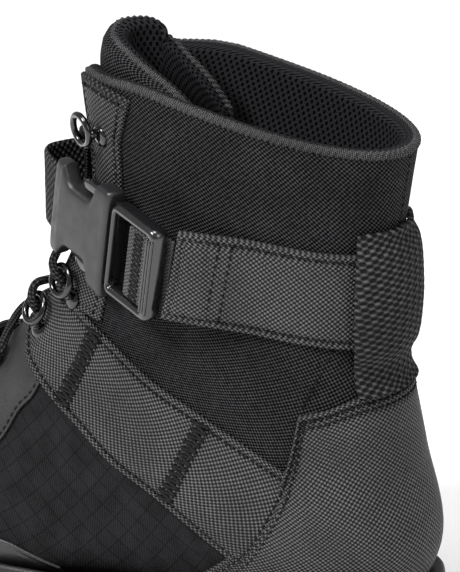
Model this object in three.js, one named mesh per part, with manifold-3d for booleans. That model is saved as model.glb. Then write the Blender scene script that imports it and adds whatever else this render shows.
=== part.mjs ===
// A left tactical boot, eight inches high, standing empty on its sole.
// Millimetres, +Z up, the toe to -Y, the outer (lateral) side to +X.
// Every piece of the upper is worked out from one form, the shape of the last with its shaft.
// The form is a run of flat sections: upright across the forefoot, turning about the throat
// through the heel, and lying level up the shaft.

import * as THREE from "three";
import { mergeVertices } from "three/addons/utils/BufferGeometryUtils.js";
import Module from "manifold-3d";

// The last
const UPPER_LENGTH = 308; // heel back to toe tip
const BALL_WIDTH = 108; // across the joint of the toes
const INSTEP_HEIGHT = 150; // floor to the bend in front of the ankle
const HEEL_SEAT = 27; // floor to the underside of the upper at the heel
const SHAFT_DEPTH = 151; // heel back to the front of the shaft
const SHAFT_WIDTH = 74;
const COLLAR_BACK = 226; // floor to the collar at the back
const COLLAR_FRONT = 250; // floor to the collar at the throat
const COLLAR_DIP = 12; // how far the collar falls again to its front corners
const DIP_FROM = 0.75; // where it starts to fall, a share of the depth

// Walls and layers
const WALL = 2.6; // the foot of the upper
const COLLAR_WALL = 7; // the padded shaft
const PAD_FROM = 0.62; // where along the form the padding starts
const PAD_FULL = 0.8;
const GAP = 0.3; // between pieces that touch
const SKIN = 1.6; // an overlay sewn on the upper
const STRAP_THICK = 2;
const TONGUE_THICK = 8;

// The sole
const SOLE_LENGTH = 318;
const SOLE_OVERHANG = 5; // past the heel of the upper
const SOLE_WIDTH = 117;
const SOLE_EDGE = 34; // floor to the top edge of the cup at the waist
const SPLIT_HEIGHT = 15; // floor to the seam between outsole and midsole at the heel
const SIDE_STEP = 1.5; // the outsole stands out past the midsole
const LUG_DEPTH = 4.5;
const CHANNEL = 4.5; // width of the gaps between lugs
const INSOLE_INSET = 16;
const INSOLE_THICK = 4;

// Straps, buckle and loop
const WEBBING = 39; // collar strap, edge to edge
const STRAP_HEIGHT = 163; // floor to the middle of the collar strap at the back
const STRAP_RISE = 0.12; // rise of the collar strap for each millimetre forward
const STRAP_END = 0.335; // where the strap stops on the medial side, a share of the length
const STRAP_LEAVES = 0.2; // where it leaves the lateral side for the buckle
const BUCKLE_RISE = 0.19; // rise of the buckle for each millimetre forward
const BUCKLE_LENGTH = 68;
const BUCKLE_WIDTH = 41;
const BUCKLE_FLARE = 3; // the female half is wider at its mouth, on each side
const BUCKLE_THICK = 11;
const BUCKLE_TURN = 21; // degrees that the buckle turns away from the side of the boot
const BUCKLE_SETBACK = 62; // from the front of the shaft back to the buckle's heelward end
const BUCKLE_DROP = 1.3; // the buckle's middle under the strap's
const BUCKLE_CLEAR = 1; // from its back to the overlay under it
const BUCKLE_UNDER = 0.65; // the depth of its back, a share of half its thickness
const BUCKLE_CORNER = 3;
const BUCKLE_MOUTH = 10; // solid part of the female half before the side notches
const BUCKLE_TAIL = 6; // and past them
const FRAME_LENGTH = 29; // the male half's frame
const FRAME_BAR = 4.6;
const PRONG_WIDTH = 5;
const PRONG_LENGTH = 23;
const PRONG_THICK = 4.4;
const PRONG_INSET = 0.8;
const BAR_FROM = 12.5; // the bar in the male frame that the tape is folded round
const BAR_TO = 15.5;
const BAR_HALF = 1.3;
const STRAP_SHORT = 1.4; // the strap stops just before the male frame
const BUCKLE_TAPE = 31; // the narrower webbing that the buckle takes
const TAPE_THICK = 1.6;
const LOOP_WIDTH = 38;
const LOOP_THICK = 2.2;
const LOOP_BOW = 3; // how far the loop bows out from the strap in its middle
const LOOP_ABOVE = 6; // how far the heel loop is sewn down above the strap

// Throat and lacing
const THROAT_WIDTH = 40;
const THROAT_BOTTOM = 96;
const RING_RADIUS = 6.2;
const RING_WIRE = 1.4;
const RING_RISE = 4; // the ring's middle over its rivet
const RING_SWING = 6; // from a rivet in to the middle of its ring
const RING_STAND = 4.6; // from the overlay out to the ring's middle
const RIVET_RADIUS = 4.6;
const RIVET_TALL = 3.2;
const SHANK = 3.2;
const LOOP_SPAN = 8; // a lace loop, across the boot
const LOOP_TALL = 11;
const LOOP_METAL = 1.5;
const LACE_RADIUS = 1.8;
const LACE_SIDES = 5;

const SEGMENTS = 24; // round one section of the form
const CIRCLE = Math.PI * 2;

const wasm = await Module();
wasm.setup();

// Sections of the foot. Along is a share of the length, seat of the heel seat, top of the
// instep height, lateral, medial and swing of the ball width. Low and high say how square the
// lower and upper half of a section are, belly where between them it is widest.
const FOOT = [
  { bottom: 1.0, seat: 1.48, front: 1.0, top: 0.267, lateral: 0, medial: 0, swing: -0.1, low: 2.2, high: 2.2, belly: 0.5, steps: 2 },
  { bottom: 0.99, seat: 1.0, front: 0.992, top: 0.353, lateral: 0.167, medial: 0.167, swing: -0.1, low: 2.6, high: 2.2, belly: 0.45, steps: 1 },
  { bottom: 0.968, seat: 0.815, front: 0.971, top: 0.413, lateral: 0.287, medial: 0.287, swing: -0.093, low: 2.8, high: 2.3, belly: 0.42, steps: 1 },
  { bottom: 0.916, seat: 0.7, front: 0.929, top: 0.467, lateral: 0.398, medial: 0.38, swing: -0.074, low: 3, high: 2.4, belly: 0.38, steps: 2 },
  { bottom: 0.838, seat: 0.63, front: 0.864, top: 0.52, lateral: 0.472, medial: 0.444, swing: -0.046, low: 3.2, high: 2.4, belly: 0.34, steps: 1 },
  { bottom: 0.721, seat: 0.556, front: 0.779, top: 0.587, lateral: 0.519, medial: 0.481, swing: -0.009, low: 3.2, high: 2.3, belly: 0.3, steps: 1 },
  { bottom: 0.604, seat: 0.63, front: 0.705, top: 0.66, lateral: 0.491, medial: 0.454, swing: 0.028, low: 3, high: 2.2, belly: 0.3, steps: 1 },
  { bottom: 0.487, seat: 0.74, front: 0.64, top: 0.74, lateral: 0.444, medial: 0.417, swing: 0.037, low: 2.8, high: 2.2, belly: 0.33, steps: 1 },
  { bottom: 0.351, seat: 0.85, front: 0.597, top: 0.827, lateral: 0.407, medial: 0.389, swing: 0.028, low: 2.6, high: 2.3, belly: 0.38, steps: 1 },
  { bottom: 0.201, seat: 0.926, front: 0.562, top: 0.913, lateral: 0.38, medial: 0.38, swing: 0.019, low: 2.6, high: 2.4, belly: 0.42, steps: 2 },
  { bottom: 0.062, seat: 1.185, front: 0.539, top: 1.0, lateral: 0.366, medial: 0.361, swing: 0.009, low: 2.5, high: 2.4, belly: 0.45, steps: 2 },
  { bottom: 0.003, seat: 2.15, front: 0.526, top: 1.08, lateral: 0.352, medial: 0.347, swing: 0, low: 2.4, high: 2.4, belly: 0.47, steps: 2 },
];

// Sections of the shaft, the last one above the collar. Bottom and front are shares of the
// shaft's depth, back of the collar's height behind, top of its height in front, and lateral
// and medial of the shaft's width.
const SHAFT = [
  { bottom: 0.053, back: 0.42, front: 1.046, top: 0.692, lateral: 0.486, medial: 0.486, low: 2.3, high: 2.3, steps: 1 },
  { bottom: 0.093, back: 0.553, front: 1.026, top: 0.736, lateral: 0.468, medial: 0.48, low: 2.2, high: 2.15, steps: 1 },
  { bottom: 0.113, back: 0.673, front: 1.01, top: 0.788, lateral: 0.462, medial: 0.473, low: 2.2, high: 2.1, steps: 1 },
  { bottom: 0.113, back: 0.796, front: 1.003, top: 0.852, lateral: 0.473, medial: 0.473, low: 2.2, high: 2.2, steps: 1 },
  { bottom: 0.093, back: 0.907, front: 1.0, top: 0.928, lateral: 0.5, medial: 0.473, low: 2.2, high: 2.5, steps: 1 },
  { bottom: 0.073, back: 1.0, front: 1.0, top: 1.0, lateral: 0.514, medial: 0.473, low: 2.2, high: 2.8, steps: 1 },
  { bottom: 0.06, back: 1.09, front: 1.003, top: 1.096, lateral: 0.514, medial: 0.473, low: 2.2, high: 2.8, steps: 1 },
];

// The sole's plan. Along is a share of its length, lateral and medial of its width.
const SOLE_PLAN = [
  { along: 0.0, lateral: 0, medial: 0 },
  { along: 0.014, lateral: 0.175, medial: 0.175 },
  { along: 0.047, lateral: 0.285, medial: 0.285 },
  { along: 0.11, lateral: 0.362, medial: 0.358 },
  { along: 0.204, lateral: 0.4, medial: 0.377 },
  { along: 0.299, lateral: 0.42, medial: 0.37 },
  { along: 0.393, lateral: 0.452, medial: 0.37 },
  { along: 0.487, lateral: 0.49, medial: 0.393 },
  { along: 0.597, lateral: 0.522, medial: 0.436 },
  { along: 0.692, lateral: 0.517, medial: 0.482 },
  { along: 0.77, lateral: 0.482, medial: 0.506 },
  { along: 0.84, lateral: 0.43, medial: 0.5 },
  { along: 0.896, lateral: 0.362, medial: 0.468 },
  { along: 0.943, lateral: 0.272, medial: 0.418 },
  { along: 0.975, lateral: 0.18, medial: 0.355 },
  { along: 0.994, lateral: 0.075, medial: 0.26 },
  { along: 1.0, lateral: -0.1, medial: 0.1 },
];

// The sole's side view. Along is a share of its length; edge, the top of the cup, is a share of
// SOLE_EDGE; split, the seam, and tread, the underside, are shares of SPLIT_HEIGHT.
const SOLE_SIDE = [
  { along: 0.0, edge: 1.3, split: 1.1, tread: 0.35 },
  { along: 0.03, edge: 1.22, split: 1.05, tread: 0 },
  { along: 0.11, edge: 1.12, split: 1.0, tread: 0 },
  { along: 0.24, edge: 1.05, split: 1.0, tread: 0 },
  { along: 0.252, edge: 1.04, split: 1.0, tread: 0.55 },
  { along: 0.36, edge: 1.0, split: 0.95, tread: 0.5 },
  { along: 0.45, edge: 0.97, split: 0.8, tread: 0.28 },
  { along: 0.5, edge: 0.96, split: 0.65, tread: 0 },
  { along: 0.62, edge: 0.94, split: 0.6, tread: 0 },
  { along: 0.76, edge: 0.94, split: 0.6, tread: 0 },
  { along: 0.85, edge: 0.99, split: 0.68, tread: 0.1 },
  { along: 0.93, edge: 1.12, split: 0.95, tread: 0.4 },
  { along: 1.0, edge: 1.35, split: 1.45, tread: 0.95 },
];

// Rings and lace loops on each side, the lowest first. Those under the strap stand at a share of
// the way from the throat's bottom to the strap, the top ring at a share of the way from the strap
// to the collar. Across is their distance from the middle, a share of half the throat's width.
const LACE_STAYS = [
  { name: "lace_loop_1", under: -0.12, across: 1.25, kind: "loop" },
  { name: "lace_loop_2", under: 0.015, across: 1.275, kind: "loop" },
  { name: "lace_loop_3", under: 0.214, across: 1.3, kind: "loop" },
  { name: "lace_ring_1", under: 0.489, across: 1.325, kind: "ring" },
  { name: "lace_ring_2", under: 0.748, across: 1.325, kind: "ring" },
  { name: "lace_ring_3", over: 0.354, across: 1.375, kind: "ring" },
];

// A point of a side view, given as shares of the upper's length and of the collar's height
// behind, turned into y and z.
function side(along, up) {
  return new THREE.Vector2(-along * UPPER_LENGTH, up * COLLAR_BACK);
}

// The outlines of the overlays in the side view, from the heel at 0 to the toe at 1.
const COUNTER = [
  [-0.03, 0.585], [0.045, 0.578], [0.085, 0.555], [0.136, 0.527], [0.146, 0.43],
  [0.172, 0.345], [0.205, 0.27], [0.263, 0.2], [0.31, 0.14], [0.31, 0.0], [-0.03, 0.0],
];
const TOE_CAP = [
  [1.05, 0.0], [0.44, 0.0], [0.455, 0.12], [0.48, 0.15], [0.56, 0.19], [0.66, 0.205],
  [0.76, 0.2], [0.84, 0.215], [0.87, 0.27], [0.88, 0.45], [1.05, 0.45],
];
const EYESTAY = [
  [0.53, 0.62], [0.505, 0.505], [0.518, 0.47], [0.54, 0.43], [0.568, 0.365], [0.62, 0.32],
  [0.69, 0.31], [0.74, 0.34], [0.765, 0.45], [0.72, 0.62],
];
const FACING = [
  [0.368, 1.2], [0.372, 1.05], [0.395, 0.955], [0.4, 0.86], [0.412, 0.76], [0.43, 0.64],
  [0.53, 0.68], [0.6, 0.76], [0.6, 1.2],
];
const ANKLE_STRAP = [
  [0.13, 0.407], [0.2, 0.46], [0.282, 0.509], [0.344, 0.544], [0.403, 0.588], [0.445, 0.615],
  [0.52, 0.668], [0.6, 0.735], [0.6, 0.57], [0.52, 0.487], [0.452, 0.429], [0.396, 0.376],
  [0.325, 0.327], [0.227, 0.248], [0.16, 0.195],
];
const TONGUE_SIDE = [
  [0.26, 1.0], [0.34, 0.88], [0.4, 0.75], [0.455, 0.655], [0.53, 0.545], [0.62, 0.45],
  [0.74, 0.35], [0.8, 0.42], [0.68, 0.56], [0.58, 0.8], [0.56, 1.14], [0.46, 1.135],
  [0.38, 1.1], [0.3, 1.035],
];

function footSection(row) {
  return [
    row.bottom * UPPER_LENGTH,
    row.seat * HEEL_SEAT,
    row.front * UPPER_LENGTH,
    row.top * INSTEP_HEIGHT,
    row.lateral * BALL_WIDTH,
    row.medial * BALL_WIDTH,
    row.swing * BALL_WIDTH,
    row.low,
    row.high,
    row.belly,
  ];
}

function shaftSection(row) {
  return [
    row.bottom * SHAFT_DEPTH,
    row.back * COLLAR_BACK,
    row.front * SHAFT_DEPTH,
    row.top * COLLAR_FRONT,
    row.lateral * SHAFT_WIDTH,
    row.medial * SHAFT_WIDTH,
    0,
    row.low,
    row.high,
    0.5,
  ];
}

const SECTIONS = [...FOOT.map(footSection), ...SHAFT.map(shaftSection)];
const LAST_ROW = SECTIONS.length - 1;
const COLLAR_ROW = LAST_ROW - 1;

// A smooth run through the sections: at is a row number with a fraction.
function sectionAt(at) {
  const i = Math.min(Math.max(Math.floor(at), 0), LAST_ROW - 1);
  const f = Math.min(Math.max(at, 0), LAST_ROW) - i;
  const p0 = SECTIONS[Math.max(i - 1, 0)];
  const p1 = SECTIONS[i];
  const p2 = SECTIONS[i + 1];
  const p3 = SECTIONS[Math.min(i + 2, LAST_ROW)];
  return p1.map((value, k) => {
    const slope = p2[k] - p0[k];
    const bend = 2 * p0[k] - 5 * value + 4 * p2[k] - p3[k];
    const twist = 3 * value - p0[k] - 3 * p2[k] + p3[k];
    return 0.5 * (2 * value + slope * f + bend * f * f + twist * f * f * f);
  });
}

// A point of the form. Turn is 0 at the back or bottom of the section and pi at its front or
// top, going round by the lateral side.
function formPoint(turn, at) {
  const [bottom, seat, front, top, lateral, medial, swing, low, high, belly] = sectionAt(at);
  const c = Math.cos(turn);
  const s = Math.sin(turn);
  const power = 2 / (c > 0 ? low : high);
  const reach = Math.abs(c) ** power;
  const share = c > 0 ? belly * (1 - reach) : belly + (1 - belly) * reach;
  const half = s > 0 ? lateral : -medial;
  return new THREE.Vector3(
    swing + half * Math.abs(s) ** power,
    -(bottom + (front - bottom) * share),
    seat + (top - seat) * share,
  );
}

// The outward direction at a point of the form, from two small steps each way.
function formNormal(turn, at) {
  if (at < 0.02) return new THREE.Vector3(0, -1, 0);
  const step = 0.02;
  const round = formPoint(turn + step, at).sub(formPoint(turn - step, at));
  const along = formPoint(turn, Math.min(at + step, LAST_ROW));
  along.sub(formPoint(turn, Math.max(at - step, 0)));
  return round.cross(along).normalize().negate();
}

function offsetPoint(turn, at, offset) {
  return formPoint(turn, at).addScaledVector(formNormal(turn, at), offset);
}

// The point on the front or back of the form at a height and a distance from the middle, found by
// halving.
function facePoint(up, across, face) {
  const turnAt = (at) => {
    const [, , , , lateral, medial, swing, lowPower, highPower] = sectionAt(at);
    const reach = across - swing;
    const share = Math.min(Math.abs(reach) / (reach > 0 ? lateral : medial), 1);
    const power = face === "front" ? highPower : lowPower;
    const turn = Math.sign(reach) * Math.asin(share ** (power / 2));
    return face === "front" ? Math.PI - turn : turn;
  };
  let low = face === "front" ? 4 : FOOT.length - 2;
  let high = LAST_ROW;
  for (let k = 0; k < 40; k += 1) {
    const at = (low + high) / 2;
    if (formPoint(turnAt(at), at).z < up) low = at;
    else high = at;
  }
  return { point: formPoint(turnAt(low), low), normal: formNormal(turnAt(low), low) };
}

// The rows at which the form is drawn, by the steps that each section asks for.
function stations(end) {
  const rows = [...FOOT, ...SHAFT];
  const list = [];
  rows.slice(0, end).forEach((row, i) => {
    for (let k = 0; k < row.steps; k += 1) list.push(i + k / row.steps);
  });
  list.push(end);
  return list;
}

function solid(geometry) {
  geometry.deleteAttribute("normal");
  geometry.deleteAttribute("uv");
  const merged = mergeVertices(geometry, 1e-4);
  return new wasm.Manifold(
    new wasm.Mesh({
      numProp: 3,
      vertProperties: new Float32Array(merged.attributes.position.array),
      triVerts: new Uint32Array(merged.index.array),
    }),
  );
}

function geometryOf(body) {
  const mesh = body.getMesh();
  const geometry = new THREE.BufferGeometry();
  geometry.setAttribute("position", new THREE.BufferAttribute(mesh.vertProperties, 3));
  geometry.setIndex(new THREE.BufferAttribute(mesh.triVerts, 1));
  const flat = geometry.toNonIndexed();
  flat.computeVertexNormals();
  return flat;
}

// A closed body from rings of points that run clockwise as seen from the last one. A ring of one
// point is a tip.
function loft(rings) {
  const points = rings.flat();
  const index = [];
  let start = 0;
  rings.slice(0, -1).forEach((ring, i) => {
    const next = rings[i + 1];
    const other = start + ring.length;
    for (let k = 0; k < next.length; k += 1) {
      const l = (k + 1) % next.length;
      if (ring.length > 1) index.push(start + k, other + l, start + l);
      index.push(start + (ring.length > 1 ? k : 0), other + k, other + l);
    }
    start = other;
  });
  [rings[0], rings.at(-1)].forEach((ring, end) => {
    if (ring.length === 1) return;
    const first = end ? start : 0;
    const middle = points.length;
    const centre = new THREE.Vector3();
    ring.forEach((p) => centre.addScaledVector(p, 1 / ring.length));
    points.push(centre);
    for (let k = 0; k < ring.length; k += 1) {
      const l = (k + 1) % ring.length;
      index.push(middle, first + (end ? l : k), first + (end ? k : l));
    }
  });
  const geometry = new THREE.BufferGeometry().setFromPoints(points);
  geometry.setIndex(index);
  return geometry;
}

// The form, made larger or smaller by an offset that may change along it.
function formSolid(offset, end = LAST_ROW) {
  const rings = stations(end).map((at) => {
    if (at === 0) return [offsetPoint(0, 0, offset(0))];
    return Array.from({ length: SEGMENTS }, (_, k) =>
      offsetPoint((k / SEGMENTS) * CIRCLE, at, offset(at)),
    );
  });
  return solid(loft(rings));
}

function extrude(points, depth) {
  return new THREE.ExtrudeGeometry(new THREE.Shape(points), { depth, bevelEnabled: false });
}

// A prism across the boot, from an outline in the side view.
function acrossPrism(outline, from, to) {
  const geometry = extrude(outline, to - from);
  geometry.applyMatrix4(new THREE.Matrix4().set(0, 0, 1, from, 1, 0, 0, 0, 0, 1, 0, 0, 0, 0, 0, 1));
  return solid(geometry);
}

// A prism along the boot, from an outline in the front view, between two distances from the heel.
function alongPrism(outline, from, to) {
  const geometry = extrude(outline, to - from);
  geometry.applyMatrix4(new THREE.Matrix4().set(1, 0, 0, 0, 0, 0, -1, -from, 0, 1, 0, 0, 0, 0, 0, 1));
  return solid(geometry);
}

function uprightPrism(outline, from, to) {
  return solid(extrude(outline, to - from).translate(0, 0, from));
}

// An outline moved outward by a distance, corner by corner.
function grown(outline, distance) {
  const count = outline.length;
  const anticlockwise = THREE.ShapeUtils.area(outline) > 0 ? 1 : -1;
  return outline.map((point, i) => {
    const before = point.clone().sub(outline[(i + count - 1) % count]).normalize();
    const after = outline[(i + 1) % count].clone().sub(point).normalize();
    const out = new THREE.Vector2(before.y + after.y, -before.x - after.x).normalize();
    const lean = Math.max(out.x * after.y - out.y * after.x, 0.5);
    return point.clone().addScaledVector(out, (anticlockwise * distance) / lean);
  });
}

function sideOutline(table) {
  return table.map(([along, up]) => side(along, up));
}

function soleAt(row) {
  return -(row.along * SOLE_LENGTH - SOLE_OVERHANG);
}

function soleOutline() {
  const lateral = SOLE_PLAN.map((row) => new THREE.Vector2(row.lateral * SOLE_WIDTH, soleAt(row)));
  const medial = SOLE_PLAN.slice(1, -1).map((row) => new THREE.Vector2(-row.medial * SOLE_WIDTH, soleAt(row)));
  const loop = [...lateral, ...medial.reverse()].map((p) => new THREE.Vector3(p.x, p.y, 0));
  const curve = new THREE.CatmullRomCurve3(loop, true, "centripetal");
  return curve.getPoints(60).slice(0, -1).map((p) => new THREE.Vector2(p.x, p.y));
}

function soleLine(column, size) {
  return SOLE_SIDE.map((row) => new THREE.Vector2(soleAt(row), row[column] * size));
}

function lifted(line, distance) {
  return line.map((p) => new THREE.Vector2(p.x, p.y + distance));
}

// A slab across the boot between two lines of the sole's side view, run on past both ends.
function slab(lower, upper) {
  const reach = (line) => {
    const first = line[0].clone().add(new THREE.Vector2(SOLE_OVERHANG, 0));
    const last = line.at(-1).clone().add(new THREE.Vector2(-SOLE_OVERHANG, 0));
    return [first, ...line, last];
  };
  return acrossPrism([...reach(lower), ...reach(upper).reverse()], -SOLE_WIDTH, SOLE_WIDTH);
}

const PLAN = soleOutline();
const EDGE_LINE = soleLine("edge", SOLE_EDGE);
const SPLIT_LINE = soleLine("split", SPLIT_HEIGHT);
const TREAD_LINE = soleLine("tread", SPLIT_HEIGHT);

function makeMidsole() {
  const block = uprightPrism(grown(PLAN, -SIDE_STEP), -SIDE_STEP, COLLAR_BACK);
  const layer = slab(lifted(SPLIT_LINE, GAP), EDGE_LINE);
  return block.intersect(layer).subtract(formSolid(() => GAP));
}

// The channels between the lugs: bars across the sole, each turned a little, and two runs along
// the middle of the forefoot.
function channelBars() {
  const bars = [];
  const bar = (along, turn, x, length) => {
    const box = new THREE.BoxGeometry(length, CHANNEL, COLLAR_BACK);
    box.rotateZ(THREE.MathUtils.degToRad(turn));
    box.translate(x, -along * UPPER_LENGTH, 0);
    bars.push(solid(box));
  };
  const reach = SOLE_WIDTH * 0.75;
  [0.06, 0.125, 0.19].forEach((along) => {
    bar(along, 12, reach * 0.62, reach);
    bar(along, -12, -reach * 0.62, reach);
  });
  [0.52, 0.585, 0.65, 0.715, 0.78, 0.845, 0.905].forEach((along) => {
    bar(along, -16, reach * 0.66, reach);
    bar(along, 16, -reach * 0.66, reach);
  });
  bar(0.71, 90, SOLE_WIDTH * 0.09, UPPER_LENGTH * 0.36);
  bar(0.71, 90, -SOLE_WIDTH * 0.13, UPPER_LENGTH * 0.36);
  return bars;
}

function makeOutsole() {
  const depth = slab(lifted(TREAD_LINE, -COLLAR_BACK), lifted(TREAD_LINE, LUG_DEPTH));
  const bars = channelBars().reduce((all, bar) => all.add(bar));
  const block = uprightPrism(PLAN, -SIDE_STEP, COLLAR_BACK);
  return block.intersect(slab(TREAD_LINE, SPLIT_LINE)).subtract(bars.intersect(depth));
}

// The board lies in the opening under the upper, on the midsole.
const SEAT_LINE = FOOT.slice(1, -1).map((row) => new THREE.Vector2(-row.bottom * UPPER_LENGTH, row.seat * HEEL_SEAT));

function insoleSlab(inset) {
  return uprightPrism(grown(PLAN, -inset), 0, INSTEP_HEIGHT);
}

function makeInsole() {
  const line = SEAT_LINE.toReversed();
  const board = slab(lifted(line, -COLLAR_BACK / 2), lifted(line, INSOLE_THICK));
  return insoleSlab(INSOLE_INSET + GAP).intersect(board).intersect(formSolid(() => 0));
}

function padding(at) {
  const share = THREE.MathUtils.smoothstep(at / LAST_ROW, PAD_FROM, PAD_FULL);
  return WALL + (COLLAR_WALL - WALL) * share;
}

// The throat in the front view: a slot with a round end, a little narrower below.
function throatCut(widen) {
  const half = THROAT_WIDTH / 2 + widen;
  const bottom = THROAT_BOTTOM - widen;
  const points = [new THREE.Vector2(half * 1.05, COLLAR_FRONT * 1.4)];
  for (let k = 0; k <= 8; k += 1) {
    const turn = (k / 8) * Math.PI;
    points.push(new THREE.Vector2(half * 0.85 * Math.cos(turn), bottom + half * (1 - Math.sin(turn))));
  }
  points.push(new THREE.Vector2(-half * 1.05, COLLAR_FRONT * 1.4));
  return alongPrism(points, SHAFT_DEPTH * 0.55, UPPER_LENGTH);
}

function makeUpper() {
  const outer = formSolid(() => 0, COLLAR_ROW);
  const inner = formSolid((at) => -padding(at));
  const shell = outer.subtract(inner).subtract(throatCut(0)).subtract(aboveCollar());
  return shell.subtract(insoleSlab(INSOLE_INSET).intersect(slab(
    lifted(SEAT_LINE.toReversed(), -COLLAR_BACK / 2),
    lifted(SEAT_LINE.toReversed(), INSOLE_THICK + GAP),
  )));
}

function makeTongue() {
  const outer = formSolid((at) => -padding(at) - GAP * 2);
  const inner = formSolid((at) => -padding(at) - GAP * 2 - TONGUE_THICK);
  const outline = acrossPrism(sideOutline(TONGUE_SIDE), -SHAFT_WIDTH, SHAFT_WIDTH);
  return outer.subtract(inner).intersect(outline);
}

// What the collar's front corners lose: all that is above a line falling forward.
function aboveCollar() {
  const from = -SHAFT_DEPTH * DIP_FROM;
  const to = -SHAFT_DEPTH * 1.1;
  const high = THREE.MathUtils.lerp(COLLAR_BACK, COLLAR_FRONT, DIP_FROM);
  const points = [[from, high], [to, COLLAR_FRONT - COLLAR_DIP], [to, COLLAR_FRONT * 1.4], [from, COLLAR_FRONT * 1.4]];
  return acrossPrism(points.map(([y, z]) => new THREE.Vector2(y, z)), -SHAFT_WIDTH, SHAFT_WIDTH);
}

const NEAR_SKIN = formSolid(() => GAP);
const SKIN_BAND = formSolid(() => GAP + SKIN, COLLAR_ROW).subtract(NEAR_SKIN);
const STRAP_BAND = formSolid(() => GAP + STRAP_THICK, COLLAR_ROW).subtract(NEAR_SKIN);
const CLEAR_OF_SKIN = formSolid(() => SKIN + GAP * 2);
const UNDER_EDGE = slab(lifted(EDGE_LINE, -COLLAR_BACK), lifted(EDGE_LINE, GAP));
const THROAT = throatCut(0);
const SIDES = { lateral: [0, 1], medial: [-1, 0] };

function sidePrism(outline, way) {
  const [from, to] = SIDES[way];
  return acrossPrism(outline, from * BALL_WIDTH, to * BALL_WIDTH);
}

// The line of the collar strap: its middle at a distance from the heel.
function strapMiddle(along) {
  return STRAP_HEIGHT + STRAP_RISE * along;
}

function collarStrapOutline(end, half) {
  const back = -SHAFT_DEPTH * 0.1;
  return [
    new THREE.Vector2(-back, strapMiddle(back) - half),
    new THREE.Vector2(-end, strapMiddle(end) - half),
    new THREE.Vector2(-end, strapMiddle(end) + half),
    new THREE.Vector2(-back, strapMiddle(back) + half),
  ];
}

const STRAP_STOP = STRAP_END * UPPER_LENGTH * 1.06;

// The ankle strap runs from the counter up to the throat.
function ankleOutline(widen) {
  return grown(sideOutline(ANKLE_STRAP), widen);
}

function makeCounter() {
  const shape = acrossPrism(sideOutline(COUNTER), -BALL_WIDTH, BALL_WIDTH);
  return SKIN_BAND.intersect(shape).subtract(UNDER_EDGE);
}

function makeToeCap() {
  const shape = acrossPrism(sideOutline(TOE_CAP), -BALL_WIDTH, BALL_WIDTH);
  return SKIN_BAND.intersect(shape).subtract(UNDER_EDGE);
}

function makeAnkleStrap(way) {
  const counter = acrossPrism(grown(sideOutline(COUNTER), GAP), -BALL_WIDTH, BALL_WIDTH);
  return SKIN_BAND.intersect(sidePrism(ankleOutline(0), way)).subtract(counter).subtract(THROAT);
}

function makeEyestay(way) {
  const strap = acrossPrism(ankleOutline(GAP), -BALL_WIDTH, BALL_WIDTH);
  const half = way === "lateral" ? 1 : -1;
  const split = acrossPrism(
    [side(0, 0), side(1, 0), side(1, 1), side(0, 1)],
    Math.min(0, half * BALL_WIDTH) + (half > 0 ? GAP / 2 : 0),
    Math.max(0, half * BALL_WIDTH) - (half > 0 ? 0 : GAP / 2),
  );
  return SKIN_BAND.intersect(sidePrism(sideOutline(EYESTAY), way)).intersect(split).subtract(strap).subtract(THROAT);
}

function makeFacing(way) {
  const strap = acrossPrism(ankleOutline(GAP), -BALL_WIDTH, BALL_WIDTH);
  const panel = SKIN_BAND.intersect(sidePrism(sideOutline(FACING), way)).subtract(aboveCollar());
  return panel.subtract(strap).subtract(THROAT);
}

// On the lateral side the strap leaves the boot and runs straight to the buckle.
function makeCollarStrap() {
  const half = WEBBING / 2;
  const leaves = STRAP_LEAVES * UPPER_LENGTH;
  const lateral = acrossPrism(collarStrapOutline(leaves, half), 0, BALL_WIDTH);
  const medial = acrossPrism(collarStrapOutline(STRAP_STOP, half), -BALL_WIDTH, 0);
  const end = new THREE.Vector3(0, 0, -TAPE_UNDER).applyMatrix4(BUCKLE_MATRIX);
  const past = plate(rectangle(-STRAP_SHORT - GAP, FRAME_LENGTH, -WEBBING, WEBBING), -BUCKLE_THICK, BUCKLE_THICK);
  const line = [[SHAFT_WIDTH * 0.43, -leaves * 0.8], [SHAFT_WIDTH * 0.462, -leaves], [end.x, end.y]];
  const leaf = standing(strip(line, STRAP_THICK, WEBBING)).subtract(NEAR_SKIN);
  const cut = leaf.subtract(past.transform(BUCKLE_MATRIX.elements));
  return STRAP_BAND.intersect(lateral.add(medial)).add(cut);
}

// The loop at the heel lies over the strap and is sewn down above and below it. Its side view is
// drawn at a few places across its width.
function makePullLoop() {
  const inner = STRAP_THICK + GAP * 3;
  const outer = inner + LOOP_THICK;
  const bottom = COUNTER[0][1] * COLLAR_BACK + GAP * 2;
  const low = strapMiddle(0) - WEBBING / 2 - GAP;
  const high = strapMiddle(0) + WEBBING / 2 + STRAP_RISE * SHAFT_DEPTH * 0.25 + GAP;
  const top = high + LOOP_ABOVE;
  const bowed = (share, offset) => [low + (high - low) * share, offset + LOOP_BOW * Math.sin(Math.PI * share)];
  const path = [
    [bottom, 0], [low, 0], [low, inner], bowed(0.33, inner), bowed(0.67, inner),
    [high, inner], [high, 0], [top, 0], [top, outer], bowed(0.8, outer),
    bowed(0.5, outer), bowed(0.2, outer), [bottom, outer],
  ];
  const rings = [-1, -0.7, -0.35, 0, 0.35, 0.7, 1].map((share) =>
    path.map(([up, offset]) => {
      const { point, normal } = facePoint(up, (share * LOOP_WIDTH) / 2, "back");
      return point.addScaledVector(normal, offset);
    }),
  );
  return solid(loft(rings)).subtract(NEAR_SKIN);
}

const HALF_WIDE = BUCKLE_WIDTH / 2;
const HALF_THICK = BUCKLE_THICK / 2;
const UNDERSIDE = HALF_THICK * BUCKLE_UNDER;
const TAPE_UNDER = UNDERSIDE + GAP + TAPE_THICK / 2;

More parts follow.
